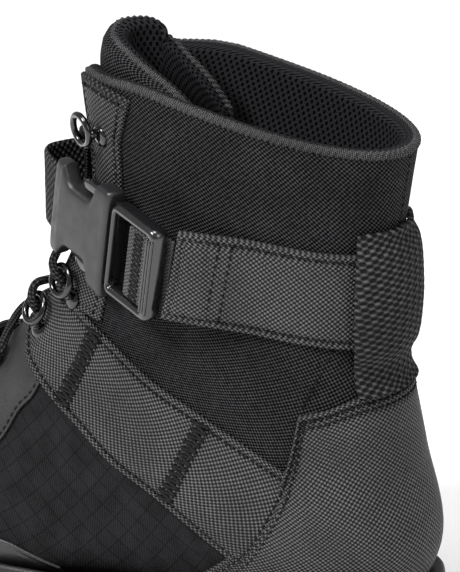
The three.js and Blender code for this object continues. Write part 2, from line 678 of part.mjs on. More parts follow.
// The buckle's own frame: u along it from the frame that the strap comes through, w down its
// width, t out of its face. It stands just clear of the overlay where the form reaches farthest
// out under it.
function makeBuckleMatrix() {
  const turn = THREE.MathUtils.degToRad(BUCKLE_TURN);
  const rise = Math.atan(BUCKLE_RISE);
  const u = new THREE.Vector3(-Math.sin(turn) * Math.cos(rise), -Math.cos(turn) * Math.cos(rise), Math.sin(rise));
  const t = new THREE.Vector3(Math.cos(turn), -Math.sin(turn), 0);
  const w = new THREE.Vector3().crossVectors(t, u);
  const along = SHAFT_DEPTH - BUCKLE_SETBACK;
  const start = new THREE.Vector3(SHAFT_WIDTH / 2, -along, strapMiddle(along) - BUCKLE_DROP);
  const reaches = stations(COLLAR_ROW).flatMap((at) =>
    Array.from({ length: SEGMENTS / 2 }, (_, k) => {
      const point = formPoint(((k + 0.5) / SEGMENTS) * CIRCLE, at).sub(start);
      const under = Math.abs(point.dot(w)) < HALF_WIDE && Math.abs(point.dot(u) - BUCKLE_LENGTH / 2) < BUCKLE_LENGTH / 2;
      return under ? point.dot(t) : -Infinity;
    }),
  );
  const lift = Math.max(...reaches) + SKIN + GAP * 2 + BUCKLE_CLEAR + UNDERSIDE;
  return new THREE.Matrix4().makeBasis(u, w, t).setPosition(start.addScaledVector(t, lift));
}

const BUCKLE_MATRIX = makeBuckleMatrix();

// A plate of the buckle: an outline in u and w, between two depths.
function plate(points, from, to) {
  return solid(extrude(points.map(([u, w]) => new THREE.Vector2(u, w)), to - from).translate(0, 0, from));
}

function rectangle(u0, u1, w0, w1) {
  return [[u0, w0], [u1, w0], [u1, w1], [u0, w1]];
}

function prongs(widen) {
  const from = FRAME_LENGTH - FRAME_BAR - widen;
  const to = FRAME_LENGTH + PRONG_LENGTH + widen;
  const outer = HALF_WIDE - PRONG_INSET + widen;
  const inner = HALF_WIDE - PRONG_INSET - PRONG_WIDTH - widen;
  const depth = PRONG_THICK / 2 + widen;
  const upper = plate(rectangle(from, to, inner, outer), -depth, depth);
  const lower = plate(rectangle(from, to, -outer, -inner), -depth, depth);
  return upper.add(lower);
}

function makeBuckleMale() {
  const corner = BUCKLE_CORNER;
  const outline = [
    [corner, -HALF_WIDE], [FRAME_LENGTH, -HALF_WIDE], [FRAME_LENGTH, HALF_WIDE],
    [corner, HALF_WIDE], [0, HALF_WIDE - corner], [0, corner - HALF_WIDE],
  ];
  const slotHalf = BUCKLE_TAPE / 2 + GAP * 2;
  const slot = plate(rectangle(FRAME_BAR, FRAME_LENGTH - FRAME_BAR, -slotHalf, slotHalf), -BUCKLE_THICK, BUCKLE_THICK);
  const bar = plate(rectangle(BAR_FROM, BAR_TO, -slotHalf - 1, slotHalf + 1), -BAR_HALF, BAR_HALF);
  const frame = plate(outline, -UNDERSIDE, HALF_THICK * 0.75).subtract(slot);
  return frame.add(bar).add(prongs(0)).transform(BUCKLE_MATRIX.elements);
}

function makeBuckleFemale() {
  const from = FRAME_LENGTH + GAP;
  const to = BUCKLE_LENGTH;
  const slope = BUCKLE_CORNER + 1;
  const mouth = HALF_WIDE + BUCKLE_FLARE;
  const notchFrom = from + BUCKLE_MOUTH;
  const notchTo = to - BUCKLE_TAIL;
  const notch = HALF_WIDE - PRONG_INSET - PRONG_WIDTH - 1;
  const outline = [
    [from, -mouth], [notchFrom, -mouth], [notchFrom + slope, -notch],
    [notchTo - slope, -notch], [notchTo, -HALF_WIDE], [to, -HALF_WIDE], [to, HALF_WIDE],
    [notchTo, HALF_WIDE], [notchTo - slope, notch], [notchFrom + slope, notch],
    [notchFrom, mouth], [from, mouth],
  ];
  const body = plate(outline, -UNDERSIDE, HALF_THICK);
  return body.subtract(prongs(GAP)).transform(BUCKLE_MATRIX.elements);
}

// A strip of webbing: its middle line in the buckle's u and t, its width along w.
function strip(line, thick, wide) {
  const left = [];
  const right = [];
  line.forEach(([u, t], i) => {
    const before = line[Math.max(i - 1, 0)];
    const after = line[Math.min(i + 1, line.length - 1)];
    const run = new THREE.Vector2(after[0] - before[0], after[1] - before[1]).normalize();
    left.push(new THREE.Vector2(u - (run.y * thick) / 2, t + (run.x * thick) / 2));
    right.push(new THREE.Vector2(u + (run.y * thick) / 2, t - (run.x * thick) / 2));
  });
  const geometry = extrude([...right, ...left.reverse()], wide);
  return geometry.translate(0, 0, -wide / 2);
}

// A strip drawn in the plan view, stood up with its middle on the strap's.
function standing(geometry) {
  const shear = new THREE.Matrix4().set(1, 0, 0, 0, 0, 1, 0, 0, 0, -STRAP_RISE, 1, STRAP_HEIGHT, 0, 0, 0, 1);
  return solid(geometry.applyMatrix4(shear));
}

// From the strap's end, under the frame's outer bar and round the middle bar.
function makeStrapTape() {
  const over = BAR_HALF + GAP + TAPE_THICK / 2;
  const line = [
    [-STRAP_SHORT, -TAPE_UNDER], [FRAME_BAR * 1.2, -TAPE_UNDER], [BAR_FROM, -over], [BAR_TO, -over],
    [BAR_TO + over * 0.75, -over * 0.7], [BAR_TO + over, 0], [BAR_TO + over * 0.75, over * 0.7],
    [BAR_TO, over], [FRAME_BAR * 1.25, over],
  ];
  const geometry = strip(line, TAPE_THICK, BUCKLE_TAPE);
  geometry.applyMatrix4(new THREE.Matrix4().set(1, 0, 0, 0, 0, 0, -1, 0, 0, 1, 0, 0, 0, 0, 0, 1));
  const clear = formSolid(() => STRAP_THICK + GAP * 2);
  return solid(geometry).transform(BUCKLE_MATRIX.elements).subtract(clear);
}

// Across the front of the boot, from the female half round to the strap's medial end. The line is
// in the plan view, across and along from the heel.
function makeFrontWebbing() {
  const start = [0.8, 0.97, 1.06].map((share) =>
    new THREE.Vector3(share * BUCKLE_LENGTH, 0, -TAPE_UNDER).applyMatrix4(BUCKLE_MATRIX),
  );
  const half = SHAFT_WIDTH / 2;
  const front = SHAFT_DEPTH;
  const rest = [
    [half * 0.2, front * 1.155], [-half * 0.12, front * 1.15], [-half * 0.45, front * 1.1],
    [-half * 0.75, front * 1.01], [-half * 0.97, front * 0.9], [-half * 1.09, front * 0.77],
    [-half * 1.105, front * 0.66], [-half * 1.1, front * 0.6],
  ];
  const line = [...start.map((p) => [p.x, p.y]), ...rest.map(([x, along]) => [x, -along])];
  return standing(strip(line, TAPE_THICK, BUCKLE_TAPE)).subtract(formSolid(() => STRAP_THICK + GAP * 2));
}

function stayAcross(stay) {
  return (stay.across * THROAT_WIDTH) / 2;
}

function stayHeight(stay) {
  const middle = strapMiddle(SHAFT_DEPTH);
  if ("under" in stay) return THREE.MathUtils.lerp(THROAT_BOTTOM, middle - WEBBING / 2, stay.under);
  return THREE.MathUtils.lerp(middle + WEBBING / 2, COLLAR_FRONT, stay.over);
}

// A frame at a stay: out of the surface, up along the throat's edge, and across.
function stayMatrix(stay, way) {
  const across = stayAcross(stay) * (way === "lateral" ? 1 : -1);
  const here = facePoint(stayHeight(stay), across, "front");
  const above = facePoint(stayHeight(stay) + LOOP_TALL / 4, across, "front");
  const rise = above.point.clone().sub(here.point).normalize();
  const out = here.normal.clone().addScaledVector(rise, -here.normal.dot(rise)).normalize();
  const sideways = new THREE.Vector3().crossVectors(rise, out);
  const seat = here.point.clone().addScaledVector(out, SKIN + GAP * 2);
  return new THREE.Matrix4().makeBasis(sideways, rise, out).setPosition(seat);
}

// A ring that lies flat over the throat's edge, on a shank that stands on a rivet.
function makeRing(stay, way) {
  const ring = new THREE.TorusGeometry(RING_RADIUS, RING_WIRE, 4, 8);
  const inward = way === "lateral" ? -RING_SWING : RING_SWING;
  ring.translate(inward, RING_RISE, RING_STAND);
  const rivet = new THREE.CylinderGeometry(RIVET_RADIUS * 0.8, RIVET_RADIUS, RIVET_TALL, 8);
  const shank = new THREE.BoxGeometry(SHANK, SHANK * 1.3, RING_STAND);
  shank.translate(0, RING_RISE - SHANK * 0.5, RING_STAND / 2);
  rivet.rotateX(Math.PI / 2);
  const body = solid(ring).add(solid(rivet)).add(solid(shank));
  return body.transform(stayMatrix(stay, way).elements).subtract(CLEAR_OF_SKIN);
}

// A flat lace loop: a bent strap of metal, open across the boot.
function makeLoop(stay, way) {
  const deep = LACE_RADIUS * 2 + LOOP_METAL;
  const body = new THREE.BoxGeometry(LOOP_SPAN, LOOP_TALL, deep * 2);
  const slot = new THREE.BoxGeometry(LOOP_SPAN * 2, LOOP_TALL - LOOP_METAL * 2, deep * 3);
  slot.translate(0, 0, -deep / 2 - LOOP_METAL);
  return solid(body).subtract(solid(slot)).transform(stayMatrix(stay, way).elements).subtract(CLEAR_OF_SKIN);
}

// How far from the middle the lace meets a stay, on its inner side.
function laceReach(stay) {
  const clear = stay.kind === "ring" ? RING_SWING + RING_RADIUS + RING_WIRE : LOOP_SPAN / 2;
  return stayAcross(stay) - clear - GAP * 3;
}

// A run of lace over the tongue, from one stay to another, just clear of the overlays.
function laceRun(from, to, sign) {
  const steps = 4;
  const lift = SKIN + LACE_RADIUS + GAP * 5;
  const points = Array.from({ length: steps + 1 }, (_, k) => {
    const share = k / steps;
    const across = THREE.MathUtils.lerp(-sign * laceReach(from), sign * laceReach(to), share);
    const up = THREE.MathUtils.lerp(stayHeight(from), stayHeight(to), share);
    const { point, normal } = facePoint(up, across, "front");
    return point.addScaledVector(normal, lift);
  });
  const corners = Array.from({ length: LACE_SIDES }, (_, k) => {
    const turn = (k / LACE_SIDES) * CIRCLE;
    return new THREE.Vector2(LACE_RADIUS * Math.cos(turn), LACE_RADIUS * Math.sin(turn));
  });
  const curve = new THREE.CatmullRomCurve3(points, false, "centripetal");
  return solid(new THREE.ExtrudeGeometry(new THREE.Shape(corners), { steps, extrudePath: curve }));
}

// The whole lace: a bar at the bottom, then a crossing from each pair of stays to the next.
function makeLace() {
  let lace = laceRun(LACE_STAYS[0], LACE_STAYS[0], 1);
  LACE_STAYS.slice(1).forEach((stay, i) => {
    lace = lace.add(laceRun(LACE_STAYS[i], stay, 1)).add(laceRun(LACE_STAYS[i], stay, -1));
  });
  return lace;
}

const FINISHES = {
  cordura: { color: 0x1b1b1c, roughness: 0.85, metalness: 0 },
  ballistic: { color: 0x2b2b2d, roughness: 0.7, metalness: 0 },
  leather: { color: 0x1a1a1a, roughness: 0.5, metalness: 0 },
  webbing: { color: 0x161617, roughness: 0.8, metalness: 0 },
  mesh: { color: 0x1e1e20, roughness: 0.9, metalness: 0 },
  rubber: { color: 0x141414, roughness: 0.75, metalness: 0 },
  foam: { color: 0x1a1a1b, roughness: 0.8, metalness: 0 },
  plastic: { color: 0x2a2b2c, roughness: 0.35, metalness: 0 },
  steel: { color: 0x1c1d1e, roughness: 0.2, metalness: 0.9 },
};

const boot = new THREE.Group();
boot.name = "tactical_boot";

function add(name, finish, body) {
  const mesh = new THREE.Mesh(geometryOf(body), new THREE.MeshStandardMaterial(FINISHES[finish]));
  mesh.name = name;
  boot.add(mesh);
}

add("outsole", "rubber", makeOutsole());
add("midsole", "foam", makeMidsole());
add("insole_board", "mesh", makeInsole());
add("upper", "cordura", makeUpper());
add("tongue", "cordura", makeTongue());
add("toe_cap", "leather", makeToeCap());
add("heel_counter", "ballistic", makeCounter());
Object.keys(SIDES).forEach((way) => {
  add(`eyestay_${way}`, "leather", makeEyestay(way));
  add(`facing_${way}`, "ballistic", makeFacing(way));
  add(`ankle_strap_${way}`, "ballistic", makeAnkleStrap(way));
});
add("collar_strap", "ballistic", makeCollarStrap());
add("pull_loop", "webbing", makePullLoop());
add("buckle_male", "plastic", makeBuckleMale());
add("buckle_female", "plastic", makeBuckleFemale());
add("buckle_tape", "webbing", makeStrapTape());
add("front_webbing", "webbing", makeFrontWebbing());
Object.keys(SIDES).forEach((way) => {
  LACE_STAYS.forEach((stay) => {
    const make = stay.kind === "ring" ? makeRing : makeLoop;
    add(`${stay.name}_${way}`, "steel", make(stay, way));
  });
});
add("lace", "webbing", makeLace());

// The origin is under the middle of the boot, on the floor.
const box = new THREE.Box3().setFromObject(boot);
const middle = box.getCenter(new THREE.Vector3());
boot.position.set(-middle.x, -middle.y, -box.min.z);

export default boot;
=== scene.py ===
"""A black tactical boot for the left foot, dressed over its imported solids.

Cloth, webbing, leather, buckle, lace and sole are worked out in millimetres from the same form as
the solids: a run of flat sections along the last and up the shaft. A point of the form has two
parameters. Turn goes round a section, 0 at its back or underside and pi at its front or top, and is
positive on the outer side. At goes from section to section, 0 at the toe.
"""

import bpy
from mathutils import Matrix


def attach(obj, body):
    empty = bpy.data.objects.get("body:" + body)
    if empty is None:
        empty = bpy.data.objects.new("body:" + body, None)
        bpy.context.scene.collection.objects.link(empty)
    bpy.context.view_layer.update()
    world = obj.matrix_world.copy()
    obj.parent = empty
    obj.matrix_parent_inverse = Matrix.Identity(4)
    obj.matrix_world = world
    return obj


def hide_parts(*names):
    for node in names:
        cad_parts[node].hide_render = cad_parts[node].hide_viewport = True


bl_info = {
    "name": "Tactical Boot",
    "version": (1, 0, 0),
    "blender": (4, 5, 0),
    "location": "3D View > Sidebar > Boot",
    "description": "Builds the cloth, webbing, buckle, lace and sole of a tactical boot",
    "category": "Object",
}

import bpy
import numpy as np
from mathutils import Vector

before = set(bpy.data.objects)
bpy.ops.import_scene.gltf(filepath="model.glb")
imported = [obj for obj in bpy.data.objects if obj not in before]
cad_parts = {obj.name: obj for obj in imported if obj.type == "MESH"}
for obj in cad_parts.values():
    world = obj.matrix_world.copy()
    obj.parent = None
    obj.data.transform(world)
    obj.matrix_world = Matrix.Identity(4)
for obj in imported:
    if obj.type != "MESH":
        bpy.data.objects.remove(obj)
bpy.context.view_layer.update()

# Sizes of the solids, in millimetres
UPPER_LENGTH = 308
BALL_WIDTH = 108
INSTEP_HEIGHT = 150
HEEL_SEAT = 27
SHAFT_DEPTH = 151
SHAFT_WIDTH = 74
COLLAR_BACK = 226
COLLAR_FRONT = 250
WALL = 2.6
COLLAR_WALL = 7
SOLE_LENGTH = 318
SOLE_OVERHANG = 5
SOLE_WIDTH = 117
SOLE_EDGE = 34
SPLIT_HEIGHT = 15
THROAT_WIDTH = 40
THROAT_BOTTOM = 96
WEBBING = 39
STRAP_HEIGHT = 163
STRAP_RISE = 0.12
TAPE = 31
TAPE_THICK = 1.6
BUCKLE_LENGTH = 68
HALF_BUCKLE = 20.5
MOUTH_FLARE = 3
BUCKLE_TURN = 21
BUCKLE_RISE = 0.19
BUCKLE_TOP = 5.5
BUCKLE_UNDER = 3.575
FRAME_LENGTH = 29
BAR = (12.5, 15.5)
STRAP_LEAVES = 61.6
RING_RADIUS = 6.2
RING_SWING = 6
RING_RISE = 4
RING_STAND = 4.6
RING_WIRE = 1.4
LACE_RADIUS = 1.8
SKIN = 1.6
PANEL_GAP = 0.15  # under a sewn panel
PANEL_ROUND = 0.8
CROWN_REACH = 6.0
GROOVE_HALF = 0.7
RELIEF_REACH = 4.0
STITCH_WIDE = 1.0
STITCH_TALL = 0.6
WEBBING_ROUND = 0.5
ROPE_RADIUS = 1.7
ROPE_STRANDS = 3
ROPE_LAY = 7.5
ORIGIN = np.array([-0.98, 154.0, 0.0])  # where the heel's back, at the floor, stands in the frame

# Sections of the form: bottom, seat, front, top, lateral, medial, swing, low, high, belly.
# Those of the foot are shares of its length, heel seat, instep height and ball width.
FOOT = np.array([
    [1.0, 1.48, 1.0, 0.267, 0, 0, -0.1, 2.2, 2.2, 0.5],
    [0.99, 1.0, 0.992, 0.353, 0.167, 0.167, -0.1, 2.6, 2.2, 0.45],
    [0.968, 0.815, 0.971, 0.413, 0.287, 0.287, -0.093, 2.8, 2.3, 0.42],
    [0.916, 0.7, 0.929, 0.467, 0.398, 0.38, -0.074, 3, 2.4, 0.38],
    [0.838, 0.63, 0.864, 0.52, 0.472, 0.444, -0.046, 3.2, 2.4, 0.34],
    [0.721, 0.556, 0.779, 0.587, 0.519, 0.481, -0.009, 3.2, 2.3, 0.3],
    [0.604, 0.63, 0.705, 0.66, 0.491, 0.454, 0.028, 3, 2.2, 0.3],
    [0.487, 0.74, 0.64, 0.74, 0.444, 0.417, 0.037, 2.8, 2.2, 0.33],
    [0.351, 0.85, 0.597, 0.827, 0.407, 0.389, 0.028, 2.6, 2.3, 0.38],
    [0.201, 0.926, 0.562, 0.913, 0.38, 0.38, 0.019, 2.6, 2.4, 0.42],
    [0.062, 1.185, 0.539, 1.0, 0.366, 0.361, 0.009, 2.5, 2.4, 0.45],
    [0.003, 2.15, 0.526, 1.08, 0.352, 0.347, 0, 2.4, 2.4, 0.47],
])
# Those of the shaft are shares of its depth, the collar's two heights and the shaft's width.
SHAFT = np.array([
    [0.053, 0.42, 1.046, 0.692, 0.486, 0.486, 0, 2.3, 2.3, 0.5],
    [0.093, 0.553, 1.026, 0.736, 0.468, 0.48, 0, 2.2, 2.15, 0.5],
    [0.113, 0.673, 1.01, 0.788, 0.462, 0.473, 0, 2.2, 2.1, 0.5],
    [0.113, 0.796, 1.003, 0.852, 0.473, 0.473, 0, 2.2, 2.2, 0.5],
    [0.093, 0.907, 1.0, 0.928, 0.5, 0.473, 0, 2.2, 2.5, 0.5],
    [0.073, 1.0, 1.0, 1.0, 0.514, 0.473, 0, 2.2, 2.8, 0.5],
    [0.06, 1.09, 1.003, 1.096, 0.514, 0.473, 0, 2.2, 2.8, 0.5],
])
FORM = np.vstack([
    FOOT * [UPPER_LENGTH, HEEL_SEAT, UPPER_LENGTH, INSTEP_HEIGHT, BALL_WIDTH, BALL_WIDTH, BALL_WIDTH, 1, 1, 1],
    SHAFT * [SHAFT_DEPTH, COLLAR_BACK, SHAFT_DEPTH, COLLAR_FRONT, SHAFT_WIDTH, SHAFT_WIDTH, 1, 1, 1, 1],
])
LAST = len(FORM) - 1
HALVINGS = 40
FACE_FROM, BACK_FROM, THROAT_FROM = 4.0, 10.0, 5.0  # the lowest sections that are searched
NEAR_EDGE = np.array([0.2, 0.5, 0.9, 1.5, 2.2, 2.7, 3.2, 3.7, 4.4, 5.5])  # where slabs are finely parted

# The sole's plan, along the sole and to each side, and its side view: along, edge, split and tread
SOLE_PLAN = np.array([
    [0.0, 0, 0], [0.014, 0.175, 0.175], [0.047, 0.285, 0.285], [0.11, 0.362, 0.358],
    [0.204, 0.4, 0.377], [0.299, 0.42, 0.37], [0.393, 0.452, 0.37], [0.487, 0.49, 0.393],
    [0.597, 0.522, 0.436], [0.692, 0.517, 0.482], [0.77, 0.482, 0.506], [0.84, 0.43, 0.5],
    [0.896, 0.362, 0.468], [0.943, 0.272, 0.418], [0.975, 0.18, 0.355], [0.994, 0.075, 0.26],
    [1.0, -0.1, 0.1],
])
SOLE_SIDE = np.array([
    [0.0, 1.3, 1.1], [0.03, 1.22, 1.05], [0.11, 1.12, 1.0], [0.24, 1.05, 1.0], [0.252, 1.04, 1.0],
    [0.36, 1.0, 0.95], [0.45, 0.97, 0.8], [0.5, 0.96, 0.65], [0.62, 0.94, 0.6], [0.76, 0.94, 0.6],
    [0.85, 0.99, 0.68], [0.93, 1.12, 0.95], [1.0, 1.35, 1.45],
])

# Rings and lace loops of one side: height and distance from the middle
STAYS = [
    ("lace_loop_1", 88.1, 25.0), ("lace_loop_2", 97.0, 25.5), ("lace_loop_3", 110.0, 26.0),
    ("lace_ring_1", 128.1, 26.5), ("lace_ring_2", 145.0, 26.5), ("lace_ring_3", 217.9, 27.5),
]


def section_at(at):
    """The form's sections at these places: a cubic through the four nearest rows, with each row's
    slope half the step between its neighbours."""
    at = np.clip(np.asarray(at, float), 0, LAST)
    row = np.clip(np.floor(at).astype(int), 0, LAST - 1)
    f = (at - row)[..., None]
    before, here = FORM[np.maximum(row - 1, 0)], FORM[row]
    after, beyond = FORM[row + 1], FORM[np.minimum(row + 2, LAST)]
    slope = after - before
    bend = 2 * before - 5 * here + 4 * after - beyond
    twist = 3 * here - before - 3 * after + beyond
    return np.moveaxis(0.5 * (2 * here + slope * f + bend * f**2 + twist * f**3), -1, 0)


def form_point(turn, at):
    """Points of the form: each section is a superellipse whose halves above and below its widest
    line have powers and heights of their own, standing on the line from its back to its front."""
    turn, at = np.broadcast_arrays(np.asarray(turn, float), np.asarray(at, float))
    bottom, seat, front, top, lateral, medial, swing, low, high, belly = section_at(at)
    c, s = np.cos(turn), np.sin(turn)
    power = 2 / np.where(c > 0, low, high)
    reach = np.abs(c) ** power
    share = np.where(c > 0, belly * (1 - reach), belly + (1 - belly) * reach)
    half = np.where(s > 0, lateral, -medial)
    return np.stack([
        swing + half * np.abs(s) ** power,
        -(bottom + (front - bottom) * share),
        seat + (top - seat) * share,
    ], -1)


def unit(v):
    return v / np.maximum(np.linalg.norm(v, axis=-1, keepdims=True), 1e-9)


def form_normal(turn, at):
    """The outward direction of the form: the cross product of a small step round a section and a
    small step from section to section."""
    turn, at = np.broadcast_arrays(np.asarray(turn, float), np.asarray(at, float))
    step = 0.02
    around = form_point(turn + step, at) - form_point(turn - step, at)
    along = form_point(turn, np.minimum(at + step, LAST)) - form_point(turn, np.maximum(at - step, 0))
    normal = -unit(np.cross(around, along))
    return np.where((at < step)[..., None], [0.0, -1.0, 0.0], normal)


def padding(at):
    """The wall's thickness: thin in the foot, padded from the ankle up, with a smooth step between."""
    share = np.clip((np.asarray(at) / LAST - 0.62) / 0.18, 0, 1)
    return WALL + (COLLAR_WALL - WALL) * share**2 * (3 - 2 * share)


def halved(under, low, high):
    """For each place, the value between low and high up to which the test holds, by halving."""
    for _ in range(HALVINGS):
        middle = (low + high) / 2
        held = under(middle)
        low, high = np.where(held, middle, low), np.where(held, high, middle)
    return low


def side_form(points, way=1):
    """Turn and at of side-view points (along from the heel, height): at is halved in until the
    point lies on the line from the section's back to its front, and turn follows from its share of
    that line through the superellipse."""
    along, up = np.asarray(points, float).T

    def above(at):
        bottom, seat, front, top = section_at(at)[:4]
        return (front - bottom) * (up - seat) - (top - seat) * (along - bottom) > 0

    at = halved(above, np.zeros_like(along), np.full_like(along, LAST))
    bottom, seat, front, top, _, _, _, power_low, power_high, belly = section_at(at)
    span = (front - bottom) ** 2 + (top - seat) ** 2
    share = ((along - bottom) * (front - bottom) + (up - seat) * (top - seat)) / np.maximum(span, 1e-9)
    share = np.clip(share, 0, 1)
    c = np.where(
        share < belly,
        (1 - share / belly).clip(0) ** (power_low / 2),
        -(((share - belly) / (1 - belly)).clip(0) ** (power_high / 2)),
    )
    return np.stack([way * np.arccos(c), at], -1)


def face_form(points, front=True):
    """Turn and at of points on the front or back (distance from the middle, height), found by
    halving at. On the front a point on the inner side has a turn past pi."""
    across, up = np.asarray(points, float).T
    lowest = np.full_like(across, FACE_FROM if front else BACK_FROM)
    at = halved(lambda at: form_point(face_turn(across, at, front), at)[..., 2] < up,
                lowest, np.full_like(across, LAST))
    return np.stack([face_turn(across, at, front), at], -1)


def face_turn(across, at, front=True):
    """The turn at which the front or back of a section lies this far from the middle."""
    _, _, _, _, lateral, medial, swing, power_low, power_high, _ = section_at(at)
    reach = across - swing
    half = np.maximum(np.where(reach > 0, lateral, medial), 1e-6)
    power = power_high if front else power_low
    turn = np.sign(reach) * np.arcsin(np.clip(np.abs(reach) / half, 0, 1) ** (power / 2))
    return np.pi - turn if front else turn


def level_form(turn, line, low=8.0):
    """At for each turn where the form's height is that of a line in the side view."""
    turn = np.asarray(turn, float)

    def under(at):
        point = form_point(turn, at)
        return point[..., 2] < line(-point[..., 1])

    return np.stack([turn, halved(under, np.full_like(turn, low), np.full_like(turn, LAST))], -1)


def throat_half(up):
    """Half the throat's width at a height: straight sides over a half-round bottom."""
    side = THROAT_WIDTH / 2 * (0.85 + 0.2 * (up - THROAT_BOTTOM - 20) / 234)
    bottom = THROAT_WIDTH / 2 * 0.85 * np.sqrt(np.clip(1 - ((THROAT_BOTTOM + 20 - up) / 20) ** 2, 0, 1))
    return np.where(up > THROAT_BOTTOM + 20, side, np.where(up > THROAT_BOTTOM, bottom, 0))


def throat_turn(at, way=1, inset=0.0):
    """The turn of the throat's edge on one side, moved away from the middle by the inset."""
    half = throat_half(section_at(at)[3])
    turn = face_turn(way * (half + np.where(half > 0, inset, 0)), at)
    return turn if way > 0 else turn - 2 * np.pi


def collar_drop(turn, at):
    """How far the sections are lowered towards the collar's front corners, which sit lower than a
    level collar would: a ramp along the boot times a ramp up the last of the shaft."""
    along = -form_point(turn, at)[..., 1]
    rise = np.clip((at - 15.2) / 1.6, 0, 1)
    return np.interp(along, [108, 118, 146, 152], [0, 0.06, 0.4, 0.46]) * rise**2 * (3 - 2 * rise)


def smooth_line(points, count=120, closed=False):
    """A cubic through the points, spaced evenly by length."""
    points = np.asarray(points, float)
    if len(points) == 2:
        return points[0] + (points[1] - points[0]) * np.linspace(0, 1, count)[:, None]
    if closed:
        before, here = np.roll(points, 1, 0), points
        after, beyond = np.roll(points, -1, 0), np.roll(points, -2, 0)
    else:
        ends = np.vstack([2 * points[0] - points[1], points, 2 * points[-1] - points[-2]])
        before, here, after, beyond = ends[:-3], ends[1:-2], ends[2:-1], ends[3:]
    f = np.linspace(0, 1, 24, endpoint=False)[None, :, None]
    before, here, after, beyond = (p[:, None] for p in (before, here, after, beyond))
    fine = 0.5 * (
        2 * here + (after - before) * f
        + (2 * before - 5 * here + 4 * after - beyond) * f**2
        + (3 * here - before - 3 * after + beyond) * f**3
    )
    fine = np.vstack([fine.reshape(-1, points.shape[1]), points[:1] if closed else points[-1:]])
    return by_length(fine, count)


def lengths(line):
    """The length of the line up to each of its points."""
    return np.concatenate([[0], np.cumsum(np.linalg.norm(np.diff(line, axis=0), axis=1))])


def spread(values, so_far, where):
    """Values given at lengths along a line, read off at other lengths."""
    return np.stack([np.interp(where, so_far, values[:, k]) for k in range(values.shape[1])], -1)


def at_lengths(line, where):
    """The points of a line at these lengths from its start."""
    return spread(line, lengths(line), where)


def by_length(line, count):
    return at_lengths(line, np.linspace(0, lengths(line)[-1], count))


def arc_uv(points):
    """Millimetres over a grid of points: the length across each row from its middle, and the
    length along each column."""
    across = np.linalg.norm(np.diff(points, axis=1), axis=-1)
    across = np.concatenate([np.zeros((len(points), 1)), np.cumsum(across, 1)], 1)
    across = across - across[:, across.shape[1] // 2, None]
    along = np.linalg.norm(np.diff(points, axis=0), axis=-1)
    along = np.concatenate([np.zeros((1, points.shape[1])), np.cumsum(along, 0)], 0)
    return np.stack([across, np.broadcast_to(along.mean(1)[:, None], across.shape)], -1)


def grid_body(points, uv=None, slot=0):
    """Quads over one grid of points, or over many alike with their number as the first size. Each
    grid closes on itself where its edges meet, and its faces are turned out by its volume."""
    points = points if points.ndim == 4 else points[None]
    count, rows, columns = points.shape[:3]
    if uv is None:
        uv = arc_uv(points[0])
    uv = np.broadcast_to(uv, (count, rows, columns, 2))
    i, j = (k.ravel() for k in np.meshgrid(np.arange(rows - 1), np.arange(columns - 1), indexing="ij"))
    quads = np.stack([i * columns + j, (i + 1) * columns + j, (i + 1) * columns + j + 1, i * columns + j + 1], -1)
    a, b, c, d = points[0].reshape(-1, 3)[quads.T]
    if np.sum(np.cross(c - a, d - b) * (a + b + c + d)) < 0:
        quads = quads[:, ::-1]
    body = np.repeat(np.arange(count), rows * columns)
    quads = (np.arange(count)[:, None, None] * rows * columns + quads).reshape(-1, 4)
    slots = np.broadcast_to(np.asarray(slot).ravel(), len(quads))
    return points.reshape(-1, 3), quads, uv.reshape(-1, 2), slots, body


def make_piece(name, bodies, materials, nodes=(), sharp=None):
    """One mesh from several bodies. Points of a body that lie together become one, so seams and
    poles close; quads with two like corners become triangles, and faces that lie on each other
    inside a body are left out."""
    points, quads, uvs, slots, keys = [], [], [], [], []
    start = first = 0
    for p, q, uv, slot, body in bodies:
        points.append(p)
        quads.append(q + start)
        uvs.append(uv)
        slots.append(slot)
        keys.append(body + first)
        start += len(p)
        first += body.max() + 1
    points, quads, uvs, slots, keys = (np.concatenate(k) for k in (points, quads, uvs, slots, keys))
    rounded = np.column_stack([np.round(points * 500).astype(np.int64), keys])
    _, chosen, index = np.unique(rounded, axis=0, return_index=True, return_inverse=True)
    corners = index.ravel()[quads]
    same = corners == np.roll(corners, -1, 1)
    crossed = (corners[:, 0] == corners[:, 2]) | (corners[:, 1] == corners[:, 3])
    whole = (same.sum(1) == 0) & ~crossed
    whole[whole] = lone(np.sort(corners[whole], 1))
    three = (same.sum(1) == 1) & ~crossed
    loops = np.concatenate([corners[whole].ravel(), corners[three][~same[three]]])
    sources = np.concatenate([quads[whole].ravel(), quads[three][~same[three]]])
    totals = np.concatenate([np.full(whole.sum(), 4), np.full(three.sum(), 3)])
    mesh = bpy.data.meshes.new(name)
    mesh.vertices.add(len(chosen))
    mesh.vertices.foreach_set("co", ((points[chosen] + ORIGIN) / 1000).astype(np.float32).ravel())
    mesh.loops.add(len(loops))
    mesh.loops.foreach_set("vertex_index", loops.astype(np.int32))
    mesh.polygons.add(len(totals))
    mesh.polygons.foreach_set("loop_start", (np.cumsum(totals) - totals).astype(np.int32))
    mesh.polygons.foreach_set("material_index", np.concatenate([slots[whole], slots[three]]).astype(np.int32))
    layer = mesh.uv_layers.new(name="UVMap")
    layer.data.foreach_set("uv", uvs[sources].astype(np.float32).ravel())
    mesh.update(calc_edges=True)
    mesh.validate()
    if sharp:
        mesh.set_sharp_from_angle(angle=np.radians(sharp))
    for material in materials:
        mesh.materials.append(material)
    piece = bpy.data.objects.new(name, mesh)
    bpy.context.scene.collection.objects.link(piece)
    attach(piece, "root")
    if nodes:
        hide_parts(*nodes)
    return piece


def lone(faces):
    """True for the faces that no other face lies on."""
    _, index, count = np.unique(faces, axis=0, return_inverse=True, return_counts=True)
    return count[index.ravel()] == 1


